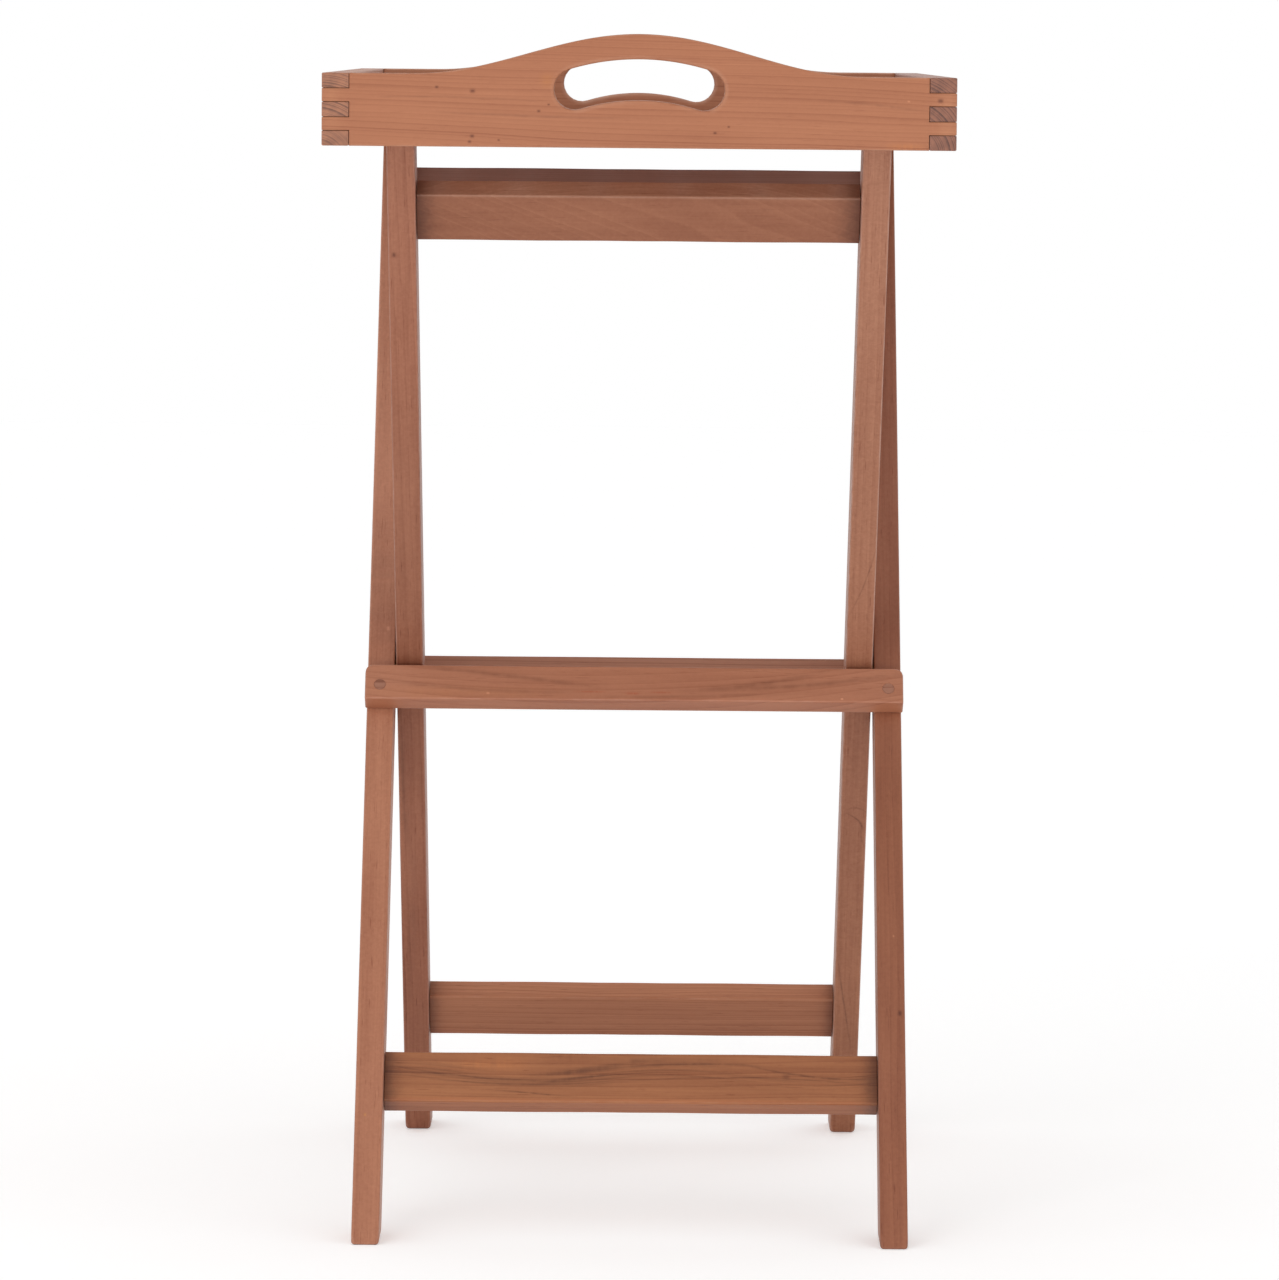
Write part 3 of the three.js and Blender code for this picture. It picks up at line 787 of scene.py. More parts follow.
def teak(name, middle, grain, width, colour, seed, pith=(0.05, 0.03), drift=(0, 0), bow=(0, 0),
         bow_middle=0, ring=0.003, wander=0.01, figure=0.35, fibre=0.2, cloud=0.25, mottle=0.12,
         curl=0.05, bias=0.3, wear_and_highlight=0.4, grime=0.8, knots=0.6, late=LATE, face_light=None, streak=None,
         joint=None, marks=()):
    """Oiled teak for one piece. Its grain runs along one axis of the piece and its width along
    another; the mapping turns Object coordinates to those axes and centres them on the piece. A
    mark that lies crosswise swaps the two axes."""
    material, n = blank(bpy.data.materials.new(name))
    grain, width = Vector(grain).normalized(), Vector(width).normalized()
    axes = Matrix((width, grain.cross(width), grain)).transposed()
    where = n.add("TexCoord", {})
    local = n.add("Mapping", {"Vector": where["Object"], "Location": middle,
                              "Rotation": axes.to_euler("XYZ")}, vector_type="TEXTURE")[0]
    tint = linear(*colour)
    wood = n.group(GRAIN, {
        "Vector": local, "Pith": (*pith, 0), "Drift": (*drift, 0), "Bow": (*bow, 0),
        "Bow Middle": bow_middle, "Ring Width": ring, "Wander": wander, "Seed": seed,
        "Figure": figure, "Fibre": fibre, "Cloud": cloud, "Mottle": mottle, "Curl": curl,
        "Bias": bias, "Pale": shaded(tint, *PALE), "Dark": shaded(tint, *DARK)})

    def coat(group, look, values):
        return n.group(group, {"Color": look, "Vector": local, "Seed": seed, **values})["Color"]

    look = wood["Color"]
    if face_light:
        look = coat(PAINTED_FACE_LIGHT, look, face_light)
    if streak:
        look = coat(DARK_STREAKS, look, streak)
    across, _, along = n.split(local)
    for crosswise, mark in marks:
        ways = {"Along": across, "Across": along} if crosswise else {"Along": along, "Across": across}
        look = n.group(MARK_AND_PAINTED_LIGHT, {"Color": look, **ways, **mark})["Color"]
    if knots:
        look = coat(PIN_KNOTS, look, {"Amount": knots})
    ends = n.group(END_GRAIN, {
        "Color": look, "Normal": where["Normal"], "Grain Axis": grain, "Vector": local,
        "Ring": wood["Ring"], "Early": shaded(tint, *EARLY), "Late": shaded(tint, *late)})
    look = ends["Color"]
    if joint:
        look = coat(JOINT_DARKENING, look, joint)
    wear_and_light = n.add("Attribute", {}, attribute_name="wear_and_light")["Fac"]
    look = n.group(ARRIS_WEAR_AND_HIGHLIGHT, {
        "Color": look, "Vector": local, "Wear And Light": wear_and_light, "Amount": wear_and_highlight, "Grime Amount": grime,
        "Wear And Highlight": shaded(tint, *RUBBED_AND_HIGHLIGHT)})["Color"]
    gloss = n.times_plus(wood["Tone"], ROUGHER, ROUGHNESS)
    gloss = n.times_plus(ends["Mask"], ROUGHER, gloss)
    relief = n.add("Bump", {"Height": wood["Height"], "Distance": 0.0001, "Strength": 0.35})[0]
    n.surface("ShaderNodeOutputMaterial", n.add("BsdfPrincipled", {
        "Base Color": look, "Roughness": gloss, "Normal": relief, "IOR": 1.45,
        "Sheen Weight": 0.1, "Sheen Roughness": 0.35, "Sheen Tint": (1, 0.88, 0.82, 1)}))
    return material


def brass():
    """Lacquered brass with fine turning marks and slight tarnish."""
    material, n = blank(bpy.data.materials.new("brass hardware"))
    where = n.add("TexCoord", {})["Object"]
    cloud = n.noise(where, 260, 3)
    tarnish = n.ramp(cloud, (0.35, 0), (0.7, 1))
    colour = n.mixed(tarnish, (0.66, 0.44, 0.16, 1), (0.42, 0.27, 0.1, 1))
    inputs = {"Height": n.noise(where, 2600, 2), "Distance": 0.00005, "Strength": 0.3}
    n.surface("ShaderNodeOutputMaterial", n.add("BsdfPrincipled", {
        "Base Color": colour, "Roughness": n.times_plus(cloud, 0.3, 0.16),
        "Normal": n.add("Bump", inputs)[0], "Metallic": 1.0}))
    return material


# Pieces of the stand

def leg_wall(low, high):
    """The leg's side view with level ends, given its thickness. A point at depth y on a level line
    stands at the line's rise plus y times the sine of the lean, all over the cosine of the lean."""
    deep = LEG_DEPTH / 2
    rows = []
    for y, rise, inward in ((-deep, -PIVOT_HEIGHT, 1), (deep, -PIVOT_HEIGHT, 1),
                            (deep, TOP_RISE, -1), (-deep, TOP_RISE, -1)):
        end = (rise + y * math.sin(LEAN)) / math.cos(LEAN)
        corner = [(y, end, FOOT_ARRIS, FOOT_CORNER), (y, end + inward * FOOT_RUN, ARRIS, 0)]
        rows += corner if (y > 0) == (inward > 0) else corner[::-1]
    outline, ease = shaped(rows, STRETCH)
    return eased_wall(outline, ease, low, high)


def leg(kind, name, side):
    """A leg with two mortises towards the middle, and the pivot's bore with a recess on the face
    where its head lies: outside on an outer leg, inside on an inner one."""
    half = HALF_OF[kind]
    shaft = (SLEEVE_RADIUS if kind == "inner" else BOLT_RADIUS) + GAP
    low, high = sorted((side * (half - LEG_THICK), side * half))
    faces = {"low": (low, 1, "high"), "high": (high, -1, "low")}
    centre = "high" if side < 0 else "low"
    mouth, inwards, outside = faces[centre]
    holes = []
    for middle in (-LOWER_RAIL_DROP, TOP_RAIL_RISE):
        mortise = rectangle(TENON_THICK / 2 + GAP, TENON_WIDTH / 2 + GAP, (0, middle))
        floor = mouth + inwards * (TENON_LENGTH + GAP)
        holes.append((pocket(mortise, mouth, floor), centre, "floor"))
    opening = centre if kind == "inner" else outside
    mouth, inwards, through = faces[opening]
    head, recess = BOLT_HEAD + GAP, mouth + inwards * (BOLT_HEAD_THICK + 2 * GAP)
    pivot = turned([(head + PIVOT_MOUTH, mouth), (head, mouth + PIVOT_MOUTH * inwards),
                    (head, recess), (shaft, recess), (shaft, faces[through][0])])
    holes.append((pivot, opening, through))
    return board(f"teak_{kind}_leg_{name}", leg_wall(low, high), "YZ", FRAME_PLACE[kind], holes)


def rail(node, kind, middle):
    """The rail's section carried along it: tenon, shoulder, body, shoulder, tenon. Both sections
    are rectangles with rounded corners, and each row draws one of them in by an inset at a distance,
    which for the body is a slow sine of the distance."""
    shoulder = HALF_OF[kind] - LEG_THICK - GAP
    end = shoulder + TENON_LENGTH
    body = Outline(rectangle(RAIL_THICK / 2, RAIL_WIDTH / 2, (0, middle)), RAIL_ARRIS)
    tenon = Outline(rectangle(TENON_THICK / 2, TENON_WIDTH / 2, (0, middle)), TENON_ARRIS)
    worn_and_lit = np.tile(np.sin(np.linspace(0, np.pi, CORNER_STEPS + 1)), len(body.corners))
    depth, turn = RAIL_WAVE
    half_wall = joined(
        row(tenon.at(TENON_ARRIS), -end), row(tenon.at(), TENON_ARRIS - end),
        row(tenon.at(), -shoulder), row(body.at(SHOULDER_ARRIS), -shoulder),
        row(body.at(), SHOULDER_ARRIS - shoulder, worn_and_lit),
        *[row(body.at(depth * math.sin(turn * share)), shoulder * (share - 1), worn_and_lit)
          for share in RAIL_STATIONS])
    rows, wear_and_light = upside_down(half_wall)
    wall = joined(half_wall, row(body.at(), 0, worn_and_lit), (rows * (1, 1, -1), wear_and_light))
    return board(f"teak_{node}", wall, "YZ", FRAME_PLACE[kind])


def screw_middle(kind, side):
    return side * (HALF_OF[kind] - LEG_THICK / 2), -SCREW_PLACE


def stop_rail(node, kind):
    """A rail with rounded upper corners, bored for a plug and a screw at each leg."""
    reach = OUTER_HALF + STOP_OVERHANG
    top, bottom = -STOP_DROP, -STOP_DROP - STOP_WIDTH
    low, high = STOP_FACE - STOP_THICK, STOP_FACE
    rows = flat_rows([(-reach, bottom), (reach, bottom)], ARRIS, STOP_LOWER_CORNER)
    rows += flat_rows([(reach, top), (-reach, top)], ARRIS, STOP_CORNER)
    outline, ease = shaped(rows, STRETCH, STOP_CORNER_STEPS)
    well, head, shank = (radius + GAP for radius in
                         (PLUG_RADIUS, RAIL_SCREW["head"], RAIL_SCREW["shank"]))
    seat = low + PLUG_DEPTH + GAP
    stages = [(well + PLUG_MOUTH, low), (well, low + PLUG_MOUTH), (well, seat), (head, seat),
              (shank, seat + RAIL_SCREW["head_depth"] + GAP), (shank, high)]
    holes = [(turned(stages, screw_middle(kind, side)), "low", "high") for _, side in SIDES]
    wall = eased_wall(outline, ease, low, high)
    return board(f"teak_{node}", wall, "XZ", FRAME_PLACE[kind], holes)


def plug(node, kind, side):
    """A turned plug, flush with the rail and tight in its well, its end very slightly domed."""
    face = STOP_FACE - STOP_THICK
    radius = PLUG_RADIUS + GAP - PLUG_PLAY
    stages = [(ring, face + drop) for ring, drop in PLUG_DOME]
    stages += [(radius - PLUG_EDGE, face + PLUG_EDGE_DROP), (radius, face + PLUG_EASE),
               (radius, face + PLUG_DEPTH)]
    wall = turned(stages, screw_middle(kind, side))
    return board(f"teak_{node}", wall, "XZ", FRAME_PLACE[kind])


# Pieces of the tray

# The least wear and light of the handle hole's walls: partly real wear from hands, and partly painted
# light and reflection that lighten walls lying in shade
GRIP_WEAR_AND_LIGHT = 0.5


def fingers(root, tip, inwards):
    """Rows up the right-hand end of a board. At each end board's finger the outline steps from the
    tip in to the root and back, or, where inwards is -1, from the root out to the tip and back.
    Each board draws back from the other by half the gap."""
    rows = []
    for foot in FINGER_FEET:
        for height, order in ((foot - inwards * GAP / 2, inwards),
                              (foot + END_FINGER + inwards * GAP / 2, -inwards)):
            level = [(tip, height, FINGER_TIP, FINGER_CORNER),
                     (tip - FINGER_RUN, height, FINGER_SIDE, 0), (root, height, FINGER_SIDE, 0)]
            rows += level[::order]
    return rows


def handle_hole():
    """Two arcs about one centre, joined by half circles, anticlockwise."""
    centre = END_HEIGHT - BAR - GRIP / 2
    arc_centre = centre - ARC_RADIUS
    spread = math.asin(HALF_SPAN / ARC_RADIUS)
    end_u = ARC_RADIUS * math.sin(spread)
    end_v = ARC_RADIUS * math.cos(spread) + centre - ARC_RADIUS

    def arc(radius, angle, u, v):
        return np.column_stack([u + radius * np.sin(angle), v + radius * np.cos(angle)])

    across = np.linspace(spread, -spread, ARC_POINTS)
    round_end = np.linspace(0, np.pi, ARC_END_POINTS)[1:-1]
    return np.concatenate([
        arc(ARC_RADIUS + GRIP / 2, across, 0, arc_centre),
        arc(GRIP / 2, -spread - round_end, -end_u, end_v),
        arc(ARC_RADIUS - GRIP / 2, -across, 0, arc_centre),
        arc(GRIP / 2, spread + np.pi - round_end, end_u, end_v)])


def end_board(end):
    """Level shoulders, and between them a hump: half its rise times one plus the cosine of pi times
    the distance from the middle over the hump's half length."""
    notch = INNER_WIDTH - GAP
    side = [(notch, 0, FINGER_SIDE, 0), *fingers(notch, HALF_WIDTH, -1),
            (notch, SIDE_HEIGHT, FINGER_SIDE, 0), (notch - FINGER_RUN, SIDE_HEIGHT, ARRIS, 0)]
    across = HUMP_HALF * np.linspace(1, -1, HUMP_POINTS)
    crest = SIDE_HEIGHT + HUMP_RISE * (1 + np.cos(np.pi * across / HUMP_HALF)) / 2
    rows = side + flat_rows(zip(across, crest), ARRIS) + mirrored(side)
    rows += flat_rows([(FINGER_RUN - notch, 0), (0, 0), (notch - FINGER_RUN, 0)], ARRIS)
    outline, ease = shaped(rows, STRETCH)
    grip, wear_and_light = eased_wall(Outline(handle_hole()), HOLE_ARRIS, INNER_LENGTH, HALF_LENGTH, -1)
    wear_and_light[1:-1] = np.maximum(wear_and_light[1:-1], GRIP_WEAR_AND_LIGHT)
    groove = rectangle(INNER_WIDTH - SLAT_GAP + GAP, TONGUE_THICK / 2 + GAP,
                       (0, LIP + TONGUE_THICK / 2))
    holes = [((grip, wear_and_light), "low", "high"),
             (pocket(groove, INNER_LENGTH, INNER_LENGTH + TONGUE + GAP), "low", "floor")]
    wall = eased_wall(outline, ease, INNER_LENGTH, HALF_LENGTH)
    place = TRAY_TURNED if end == "near" else TRAY_PLACE
    return board(f"teak_{end}_end_board", wall, "XZ", place, holes)


def side_board(name, side):
    """The outer part of its thickness has a whole lower edge, the inner part a housing for each
    batten. Both outlines have the same number of points, so the step between them is flat."""
    end = [(HALF_LENGTH, 0, FINGER_TIP, SIDE_CORNER), *fingers(INNER_LENGTH - GAP, HALF_LENGTH, 1),
           (HALF_LENGTH, SIDE_HEIGHT, FINGER_TIP, SIDE_CORNER),
           (HALF_LENGTH - SIDE_RUN, SIDE_HEIGHT, ARRIS, 0)]
    top = flat_rows([(u, SIDE_HEIGHT) for u in SIDE_TOP], ARRIS)
    outlines = []
    for lip, spread, ease in ((LIP, 0, FINGER_SIDE), (0, HOUSING_SPREAD, ARRIS)):
        lower = [(SIDE_RUN - HALF_LENGTH, 0, ARRIS, 0)]
        for middle in (-BATTEN_PLACE, BATTEN_PLACE):
            first, last = middle - BATTEN_WIDTH / 2 - GAP, middle + BATTEN_WIDTH / 2 + GAP
            lower += flat_rows([(first, 0), (first + spread, lip), (last - spread, lip), (last, 0)],
                               ease)
        lower += [(HALF_LENGTH - SIDE_RUN, 0, ARRIS, 0)]
        outlines.append(shaped(lower + end + top + mirrored(end)))
    (housed, housed_ease), (whole, whole_ease) = outlines
    step = INNER_WIDTH + HOUSING + GAP
    wall = joined(rim(housed, housed_ease, INNER_WIDTH, 1), row(housed.at(), step),
                  row(whole.at(), step), upside_down(rim(whole, whole_ease, HALF_WIDTH, -1)))
    return board(f"teak_{name}_side_board", wall, "YZ", TRAY_TURNED if side < 0 else TRAY_PLACE)


def slat(index):
    """A board with a thinner tongue at each end: the lower part of its thickness is longer."""
    x = SLAT_PLACES[index]
    long, short = (shaped(flat_rows(rectangle(SLAT_WIDTH / 2, reach, (x, 0)), 0))[0]
                   for reach in (INNER_LENGTH + TONGUE, INNER_LENGTH - GAP))
    step = FLOOR_BOTTOM + TONGUE_THICK
    wall = joined(rim(long, SLAT_LOWER_ARRIS, FLOOR_BOTTOM, 1), row(long.at(), step),
                  row(short.at(), step),
                  upside_down(rim(short, SLAT_ARRIS, FLOOR_BOTTOM + SLAT_THICK, -1)))
    shank = SLAT_SCREW["shank"] + GAP
    stages = [(shank, FLOOR_BOTTOM), (shank, SLAT_SCREW_START + SLAT_SCREW["length"] + GAP)]
    holes = [(turned(stages, (x, y), SLAT_HOLE_POINTS), "low", "floor")
             for y in (-BATTEN_PLACE, BATTEN_PLACE)]
    return board(f"teak_slat_{index + 1}", wall, "XY", HERE, holes)


def batten(end, sign):
    """A thin board with countersunk screw holes, one for each slat."""
    low, y = BATTEN_TOP - BATTEN_THICK, sign * BATTEN_PLACE
    corners = rectangle(INNER_WIDTH + HOUSING, BATTEN_WIDTH / 2, (0, y))
    outline, ease = shaped(flat_rows(corners, BATTEN_ARRIS), BATTEN_STRETCH)
    head, shank = SLAT_SCREW["head"] + GAP, SLAT_SCREW["shank"] + GAP
    stages = [(head, low), (head, SLAT_SCREW_START),
              (shank, SLAT_SCREW_START + SLAT_SCREW["head_depth"] + GAP), (shank, BATTEN_TOP)]
    holes = [(turned(stages, (x, y), BATTEN_HOLE_POINTS), "low", "high") for x in SLAT_PLACES]
    wall = eased_wall(outline, ease, low, BATTEN_TOP)
    return board(f"teak_{end}_batten", wall, "XY", HERE, holes)


# Every board's own timber

def dress(piece, node, *looks, **figure):
    """The piece takes the node's place and body, in a timber centred on the node's box."""
    low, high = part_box(node)
    middle = (Vector(low) + Vector(high)) / 2
    piece.data.materials.append(teak(f"teak {node.replace('_', ' ')}", middle, *looks, **figure))
    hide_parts(node)
    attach(piece, BODY_OF[node])


ACROSS, AWAY, UP = (1, 0, 0), (0, 1, 0), (0, 0, 1)
RISE = {kind: (0, slope * math.sin(LEAN), math.cos(LEAN)) for kind, slope in SLOPES.items()}


def line(middle, level, reach, width=0.0007, slope=0, curve=0, amount=0.75, crosswise=False,
         **rest):
    return crosswise, dict(Middle=middle, Level=level, Reach=reach, Width=width, Slope=slope,
                           Curve=curve, Amount=amount, **rest)


def plain_line(*place, **rest):
    """A line without breaks or wavering."""
    return line(*place, Breaks=0, Waver=0, **rest)


def speck(middle, level, size=0.0008, amount=0.9, Tint=(0.38, 0.26, 0.22, 1), **rest):
    return line(middle, level, 1.8 * size, size, amount=amount, Tint=Tint, Breaks=0, **rest)


def wash(middle, reach, *tint):
    """A change of tint over the whole width, for a stretch along the piece."""
    return plain_line(middle, 0, reach, 0.1, amount=1, Tint=(*tint, 1))


PALE_SPOT = dict(Tint=(1.7, 2.0, 2.2, 1))
ORANGE = dict(Tint=(1.12, 1.12, 0.85, 1))
SHADE = dict(Tint=(0.78, 0.8, 0.84, 1))
RED = dict(Tint=(0.95, 0.6, 0.5, 1))

# For each leg its colour, its seed and its figure
# The washes make the upper part of some legs lighter and their lower part darker; the darkening is
# partly the timber's tone and partly painted shade, for the lower legs lying farther back, and the
# marks tinted SHADE are painted shade
LEGS = {
    "outer_leg_left": ((178, 118, 89), 1.3, dict(
        pith=(0.06, 0.02), ring=0.006, figure=0.12, fibre=0.4, cloud=0.7, curl=0.35, mottle=0.4,
        marks=[
            wash(0.25, 0.3, 1.12, 1.22, 1.36), wash(-0.35, 0.35, 0.92, 0.88, 0.84),
            line(0.045, 0, 0.07, 0.03, amount=0.6, **SHADE),
            speck(-0.357, -0.0023, Tint=(1.25, 1.35, 0.9, 1)),
            speck(0.012, 0.004, 0.0012, amount=0.5, **PALE_SPOT)])),
    "outer_leg_right": ((152, 92, 63), 2.1, dict(
        pith=(0.05, 0.03), ring=0.0045, figure=0.25, fibre=0.5, cloud=1, curl=0.3, mottle=0.4,
        marks=[
            wash(0.2, 0.3, 1, 1.11, 1.37), wash(-0.17, 0.25, 0.89, 0.87, 0.86),
            speck(-0.279, 0.0058, 0.0013), speck(-0.2214, 0.0021, 0.0006, **PALE_SPOT)])),
    "inner_leg_left": ((162, 103, 77), 3.7, dict(
        pith=(-0.06, 0.02), drift=(0.02, 0), ring=0.0055, figure=0.3, fibre=0.6, cloud=1.2,
        curl=0.4, mottle=0.45, wear_and_highlight=0.7, marks=[
            wash(-0.2, 0.5, 0.93, 0.9, 0.88), wash(-0.45, 0.3, 0.9, 0.85, 0.78),
            wash(0.06, 0.2, 0.9, 0.91, 0.91), speck(0.355, -0.0054, 0.0014),
            line(-0.22, -0.001, 0.09, 0.003, 0.03, amount=0.5, **SHADE),
            line(-0.1, -0.006, 0.07, 0.002, -0.02, 0.5, amount=0.45)])),
    "inner_leg_right": ((172, 116, 89), 4.2, dict(
        pith=(0.07, 0.01), ring=0.006, figure=0.25, fibre=0.45, curl=0.6, cloud=0.7, mottle=0.3,
        wear_and_highlight=0.9, marks=[
            wash(-0.3, 0.6, 0.87, 0.82, 0.78), wash(-0.45, 0.3, 0.95, 0.91, 0.82),
            line(0.087, 0.0027, 0.035, 0.0005, 0.279, -1.87, 0.55),
            line(-0.299, -0.0024, 0.05, 0.0006, -0.135, 0.22, 0.7),
            line(-0.1297, 0.0044, 0.0105, 0.0009, -0.661, -65.5, 0.85),
            line(-0.145, 0.0061, 0.01, 0.0006, -0.199, 14, 0.4),
            line(0.0021, -0.1169, 0.008, 0.0007, -0.157, -49.3, 0.5, crosswise=True)])),
}
for node, (colour, seed, figure) in LEGS.items():
    kind, _, name = node.split("_")
    dress(leg(kind, name, dict(SIDES)[name]), node, RISE[kind], ACROSS, colour, seed, **figure)

# For each rail its frame, its height from the pivot, its colour, its seed and its figure
INNER_SHOULDER, OUTER_SHOULDER = (MM * (half - LEG_THICK - GAP)
                                  for half in (INNER_HALF, OUTER_HALF))
RAILS = {
    "near_lower_rail": ("outer", -LOWER_RAIL_DROP, (159, 99, 61), 5.1, dict(
        pith=(0.03, 0.05), figure=0.45, fibre=0.6, cloud=0.7, curl=0.1, mottle=0.2,
        # Its lower face is painted lighter: painted light standing in for light from the floor
        face_light=dict(Level=-0.0162, Softness=0.0015, Tint=(1.15, 1.08, 1.05, 1)),
        streak=dict(Level=0.002, Swing=0.004, Wavelength=0.19, Start=-0.16, Spread=0.007,
                    Amount=0.6),
        joint=dict(Shoulder=OUTER_SHOULDER, Width=0.008, Amount=0.85), marks=[
            line(-0.108, 0.0001, 0.07, 0.0008, -0.097, 0.84),
            line(-0.036, -0.0004, 0.028, 0.0013, 0.138, -0.29),
            line(-0.077, -0.0053, 0.09, 0.0006, -0.016, 0.94, 0.6),
            line(-0.032, 0.0053, 0.045, 0.0022, 0.157, 0.59, 0.75),
            line(-0.067, -0.0117, 0.03, 0.0006, -0.084),
            line(0.042, 0.0107, 0.055, 0.001, 0.013, -1.14, 0.65),
            line(0.02, 0.013, 0.06, 0.0016, 0, 0.3, 0.4),
            line(0.122, 0.0019, 0.05, 0.0008, -0.103, 1.84),
            line(0.083, 0.0008, 0.09, 0.0006, -0.017, -0.53, 0.6),
            line(-0.1508, 0.0015, 0.0062, 0.0004, crosswise=True),
            speck(0.1043, 0.0018, 0.002, 0.5),
            line(-0.0949, 0.0094, 0.03, 0.005, amount=0.9, Tint=(1.2, 1.15, 1.0, 1)),
            line(-0.04, 0.015, 0.022, 0.004, amount=0.6, Tint=(0.72, 0.62, 0.6, 1))])),
    "far_top_rail": ("outer", TOP_RAIL_RISE, (152, 115, 103), 6.4, dict(
        pith=(0.08, 0.02), joint=dict(Shoulder=OUTER_SHOULDER, Amount=0.5))),
    "far_lower_rail": ("inner", -LOWER_RAIL_DROP, (170, 110, 78), 7.9, dict(
        pith=(0.06, 0.03), figure=0.4, fibre=0.5, cloud=0.4,
        # Its top face is painted lighter: painted light standing in for light from above
        face_light=dict(Level=0.0165, Softness=-0.0015, Tint=(1.25, 1.3, 1.3, 1)),
        joint=dict(Shoulder=INNER_SHOULDER, Width=0.006, Amount=0.6))),
    "near_top_rail": ("inner", TOP_RAIL_RISE, (156, 99, 71), 8.3, dict(
        pith=(0.02, 0.06), drift=(0.5, 0), ring=0.0055, figure=-0.22, bias=0.45, fibre=0.35,
        curl=0.3, mottle=0.3, cloud=0.9,
        joint=dict(Shoulder=INNER_SHOULDER, Width=0.011, Amount=0.8), marks=[
            # A painted highlight along the top arris, and painted light on the top face, which lies
            # in the tray's shade
            plain_line(0, 0.0188, 0.4, 0.0016, amount=1, Tint=(1.65, 2.35, 3.0, 1))])),
}
for node, (kind, middle, colour, seed, figure) in RAILS.items():
    dress(rail(node, kind, middle), node, ACROSS, RISE[kind], colour, seed, **figure)

# For each stop rail its frame, its colour, its seed and its figure
STOPS = {
    "near_stop_rail": ("outer", (176, 116, 87), 9.2, dict(
        pith=(0.04, 0.03), bow=(0.45, 0), bow_middle=-0.03, ring=0.006, figure=0.3, fibre=0.3,
        cloud=0.6, mottle=0.2,
        # Its lower face is painted a little warmer: painted light standing in for light from the
        # floor
        face_light=dict(Level=-0.0118, Softness=0.0015, Tint=(1.05, 1.0, 0.95, 1)), marks=[
            line(-0.09, 0.0055, 0.07, 0.0018, -0.12, -0.16, 0.5),
            line(-0.105, -0.0058, 0.08, 0.0016, -0.061, 0.65, 0.4),
            line(0.081, -0.0008, 0.06, 0.002, 0.156, 1.22, 0.45),
            line(0.12, -0.0002, 0.07, 0.0016, 0.106, 0.58, 0.5),
            line(-0.03, -0.0068, 0.012, 0.0005, amount=0.9, **RED),
            line(-0.001, -0.0078, 0.006, 0.0009, amount=0.8, **RED),
            line(0.0185, -0.0069, 0.009, 0.0006, amount=0.8, **RED),
            line(0.04, -0.0095, 0.08, 0.0012, 0.03, amount=0.35),
            speck(-0.1006, -0.0085, 0.0008, 0.5, **PALE_SPOT),
            speck(0.1432, -0.0108, 0.0006, **PALE_SPOT),
            line(-0.12, -0.008, 0.07, 0.004, amount=0.7, Tint=(1.1, 1.1, 0.98, 1))])),
    "far_stop_rail": ("inner", (184, 132, 108), 10.5, dict(
        pith=(0.05, 0.03), figure=0.5, fibre=0.4)),
}
PLUG_COLOUR = (160, 110, 88)
for node, (kind, colour, seed, figure) in STOPS.items():
    dress(stop_rail(node, kind), node, ACROSS, RISE[kind], colour, seed, **figure)
    for name, side in SIDES:
        plug_node = node.replace("rail", f"plug_{name}")
        dress(plug(plug_node, kind, side), plug_node, ACROSS, RISE[kind], PLUG_COLOUR,
              seed + side / 3, pith=(0.006, 0.02), ring=0.0016, figure=0.6, cloud=0.6)

# For each end board its colour, its seed and its figure
# Paler late wood for the end boards' end grain, in the fingers and the handle hole's end walls; on
# the hole's walls it is painted light, lightening walls that lie in shade
PALE_END_GRAIN = (0.75, 0.85, 1)
END_BOARDS = {
    "near_end_board": ((176, 111, 76), 11.7, dict(
        pith=(-0.11, 0.03), ring=0.003, figure=0.32, fibre=0.22, cloud=0.4, drift=(0.03, 0),
        wander=0.016, wear_and_highlight=0.7, grime=0.25, knots=0, late=PALE_END_GRAIN, marks=[
            plain_line(0, -0.199, 0.07, 0.006, crosswise=True, amount=0.9,
                       Tint=(1.1, 1.18, 1.2, 1)),
            plain_line(0, 0.199, 0.07, 0.006, crosswise=True, amount=0.9,
                       Tint=(1.12, 1.22, 1.28, 1)),
            *[speck(*place) for place in (
                (-0.1308, 0.0016), (-0.1077, -0.0008, 0.0012), (-0.1078, -0.0298, 0.001),
                (-0.1094, -0.0334), (-0.0906, -0.0322, 0.0006), (-0.0585, -0.0091, 0.0006),
                (-0.0649, -0.0133), (0.049, -0.0265), (0.0578, -0.0225, 0.0006),
                (0.1943, -0.0046, 0.0013))],
            speck(0.1738, -0.0052, 0.0006, 0.5, **PALE_SPOT),
            line(-0.1189, -0.0047, 0.075, 0.0007, -0.016, -0.5, 0.3),
            line(-0.0673, -0.0166, 0.08, 0.0008, -0.026, 0.2, 0.35),
            line(0.1536, -0.0076, 0.045, 0.0009, -0.1, -0.6, 0.3),
            line(0.0067, -0.0597, 0.006, 0.004, crosswise=True, amount=0.8, **ORANGE),
            line(0.172, -0.0345, 0.014, 0.0022, amount=0.9, Tint=(1.18, 1.14, 0.9, 1))])),
    "far_end_board": ((186, 127, 95), 12.4, dict(
        pith=(0.12, 0.02), ring=0.003, figure=0.4, fibre=0.22, cloud=0.4, wander=0.016,
        wear_and_highlight=0.9, grime=0.25, late=PALE_END_GRAIN)),
}
for node, (colour, seed, figure) in END_BOARDS.items():
    dress(end_board(node.split("_")[0]), node, ACROSS, UP, colour, seed, **figure)

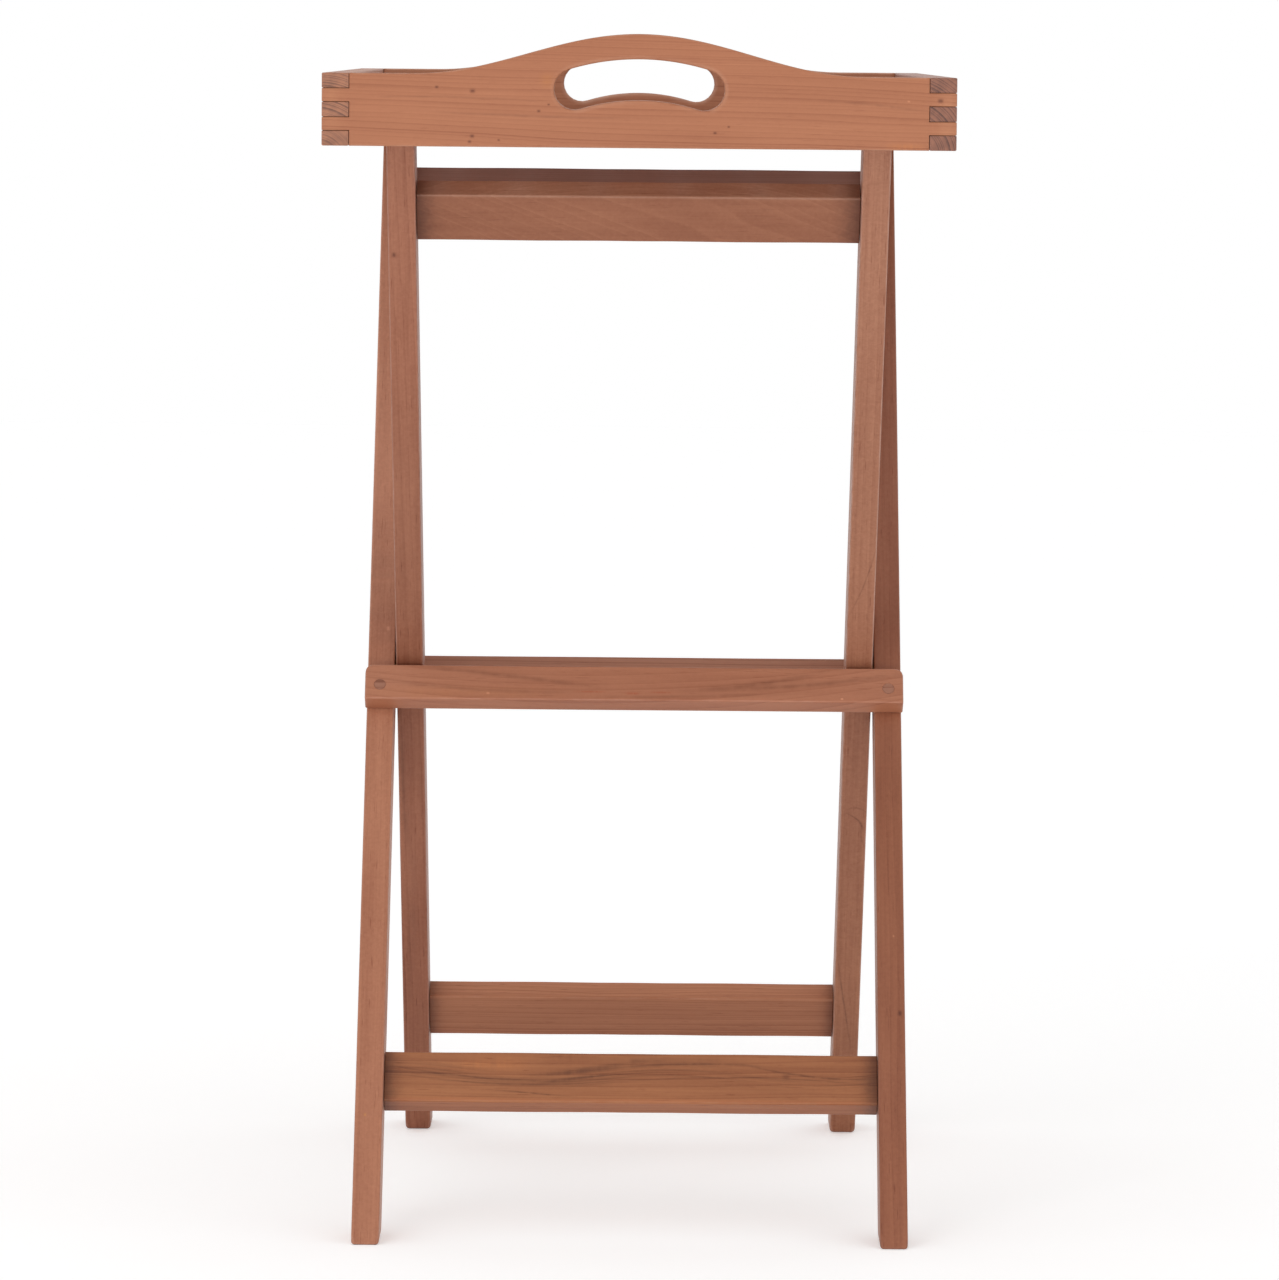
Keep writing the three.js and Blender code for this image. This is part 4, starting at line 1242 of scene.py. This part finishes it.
SIDE_SEED = 13.1
SIDE_BOARDS = {
    "left": ((178, 118, 88), dict(pith=(-0.035, -0.012), ring=0.0018)),
    "right": ((156, 102, 80), dict(pith=(-0.03, -0.03), ring=0.002)),
}
for name, side in SIDES:
    node = f"{name}_side_board"
    colour, rings = SIDE_BOARDS[name]
    dress(side_board(name, side), node, AWAY, UP, colour, SIDE_SEED + side, figure=0.4, fibre=0.4,
          cloud=0.5, wander=0.006, **rings)

SLAT_COLOUR = (174, 114, 84)
SLAT_SEED, SLAT_SEED_STEP = 15.3, 1.7
SLAT_SHADE, SLAT_SHADE_TURN = 0.05, 2.4
for index in range(SLAT_COUNT):
    node = f"slat_{index + 1}"
    shade = 1 + SLAT_SHADE * math.sin(SLAT_SHADE_TURN * index)
    dress(slat(index), node, AWAY, ACROSS, [value * shade for value in SLAT_COLOUR],
          SLAT_SEED + SLAT_SEED_STEP * index, pith=(0.02 * math.sin(index), 0.05), drift=(0, 0.03),
          figure=0.45, fibre=0.4, cloud=0.45)

BATTEN_COLOUR, BATTEN_SEED = (166, 107, 79), 29
for end, sign in ENDS:
    dress(batten(end, sign), f"{end}_batten", ACROSS, AWAY, BATTEN_COLOUR, BATTEN_SEED + sign,
          figure=0.4, fibre=0.4)

metal = brass()
for node in BODY_OF:
    if "screw" in node or "pivot" in node:
        solid = bpy.data.objects[node]
        solid.data.materials.clear()
        solid.data.materials.append(metal)


# Floor, backdrop and light

ROOM_LIGHT = 0.75
FLOOR_GLOW = 0.3
FLOOR_REACH = 9
WHITE = (1, 1, 1, 1)

# For each lamp its place, what it is aimed at, its size and its power
LAMPS = {
    "key": ((-1.8, -3.0, 2.6), (0, 0, 0.5), (1.8, 1.8), 15),
    "fill": ((2.4, -2.4, 1.4), (0, 0, 0.4), (1.6, 1.6), 3),
    "low front": ((-0.2, -2.4, 0.2), (0, 0, 0.5), (2.6, 0.35), 11),
}


def in_view(n):
    """1 for what the camera sees, straight or in a mirror or glass, and 0 for what only lights."""
    path = n.add("LightPath", {})
    straight = n.greater(path["Is Camera Ray"], path["Is Transmission Ray"])
    return n.greater(straight, path["Is Glossy Ray"])


def light_world():
    world, n = blank(bpy.data.worlds.new("studio"))
    strength = n.times_plus(in_view(n), 1 - ROOM_LIGHT, ROOM_LIGHT)
    background = n.add("Background", {"Color": WHITE, "Strength": strength})
    n.surface("ShaderNodeOutputWorld", background)
    bpy.context.scene.world = world


def floor_sheet():
    """A level sheet, white in itself, whose glow for the camera leaves only the shadows darker."""
    mesh = bpy.data.meshes.new("floor")
    corners = np.column_stack([rectangle(FLOOR_REACH, FLOOR_REACH), np.zeros(4)])
    mesh.from_pydata(corners.tolist(), [], [(0, 1, 2, 3)])
    floor = placed("floor", mesh)
    material, n = blank(bpy.data.materials.new("white floor"))
    n.surface("ShaderNodeOutputMaterial", n.add("BsdfPrincipled", {
        "Base Color": (0.9, 0.9, 0.9, 1), "Roughness": 0.9, "Emission Color": WHITE,
        "Emission Strength": n.times(in_view(n), FLOOR_GLOW)}))
    mesh.materials.append(material)


def area_light(name, place, target, size, power):
    data = bpy.data.lights.new(name, "AREA")
    data.shape = "RECTANGLE"
    data.size, data.size_y = size
    data.energy = power
    lamp = placed(name, data)
    lamp.location = place
    lamp.rotation_euler = (Vector(target) - Vector(place)).to_track_quat("-Z", "Y").to_euler()


light_world()
floor_sheet()
for name, lamp in LAMPS.items():
    area_light(name, *lamp)

bpy.context.scene.view_settings.view_transform = "Standard"
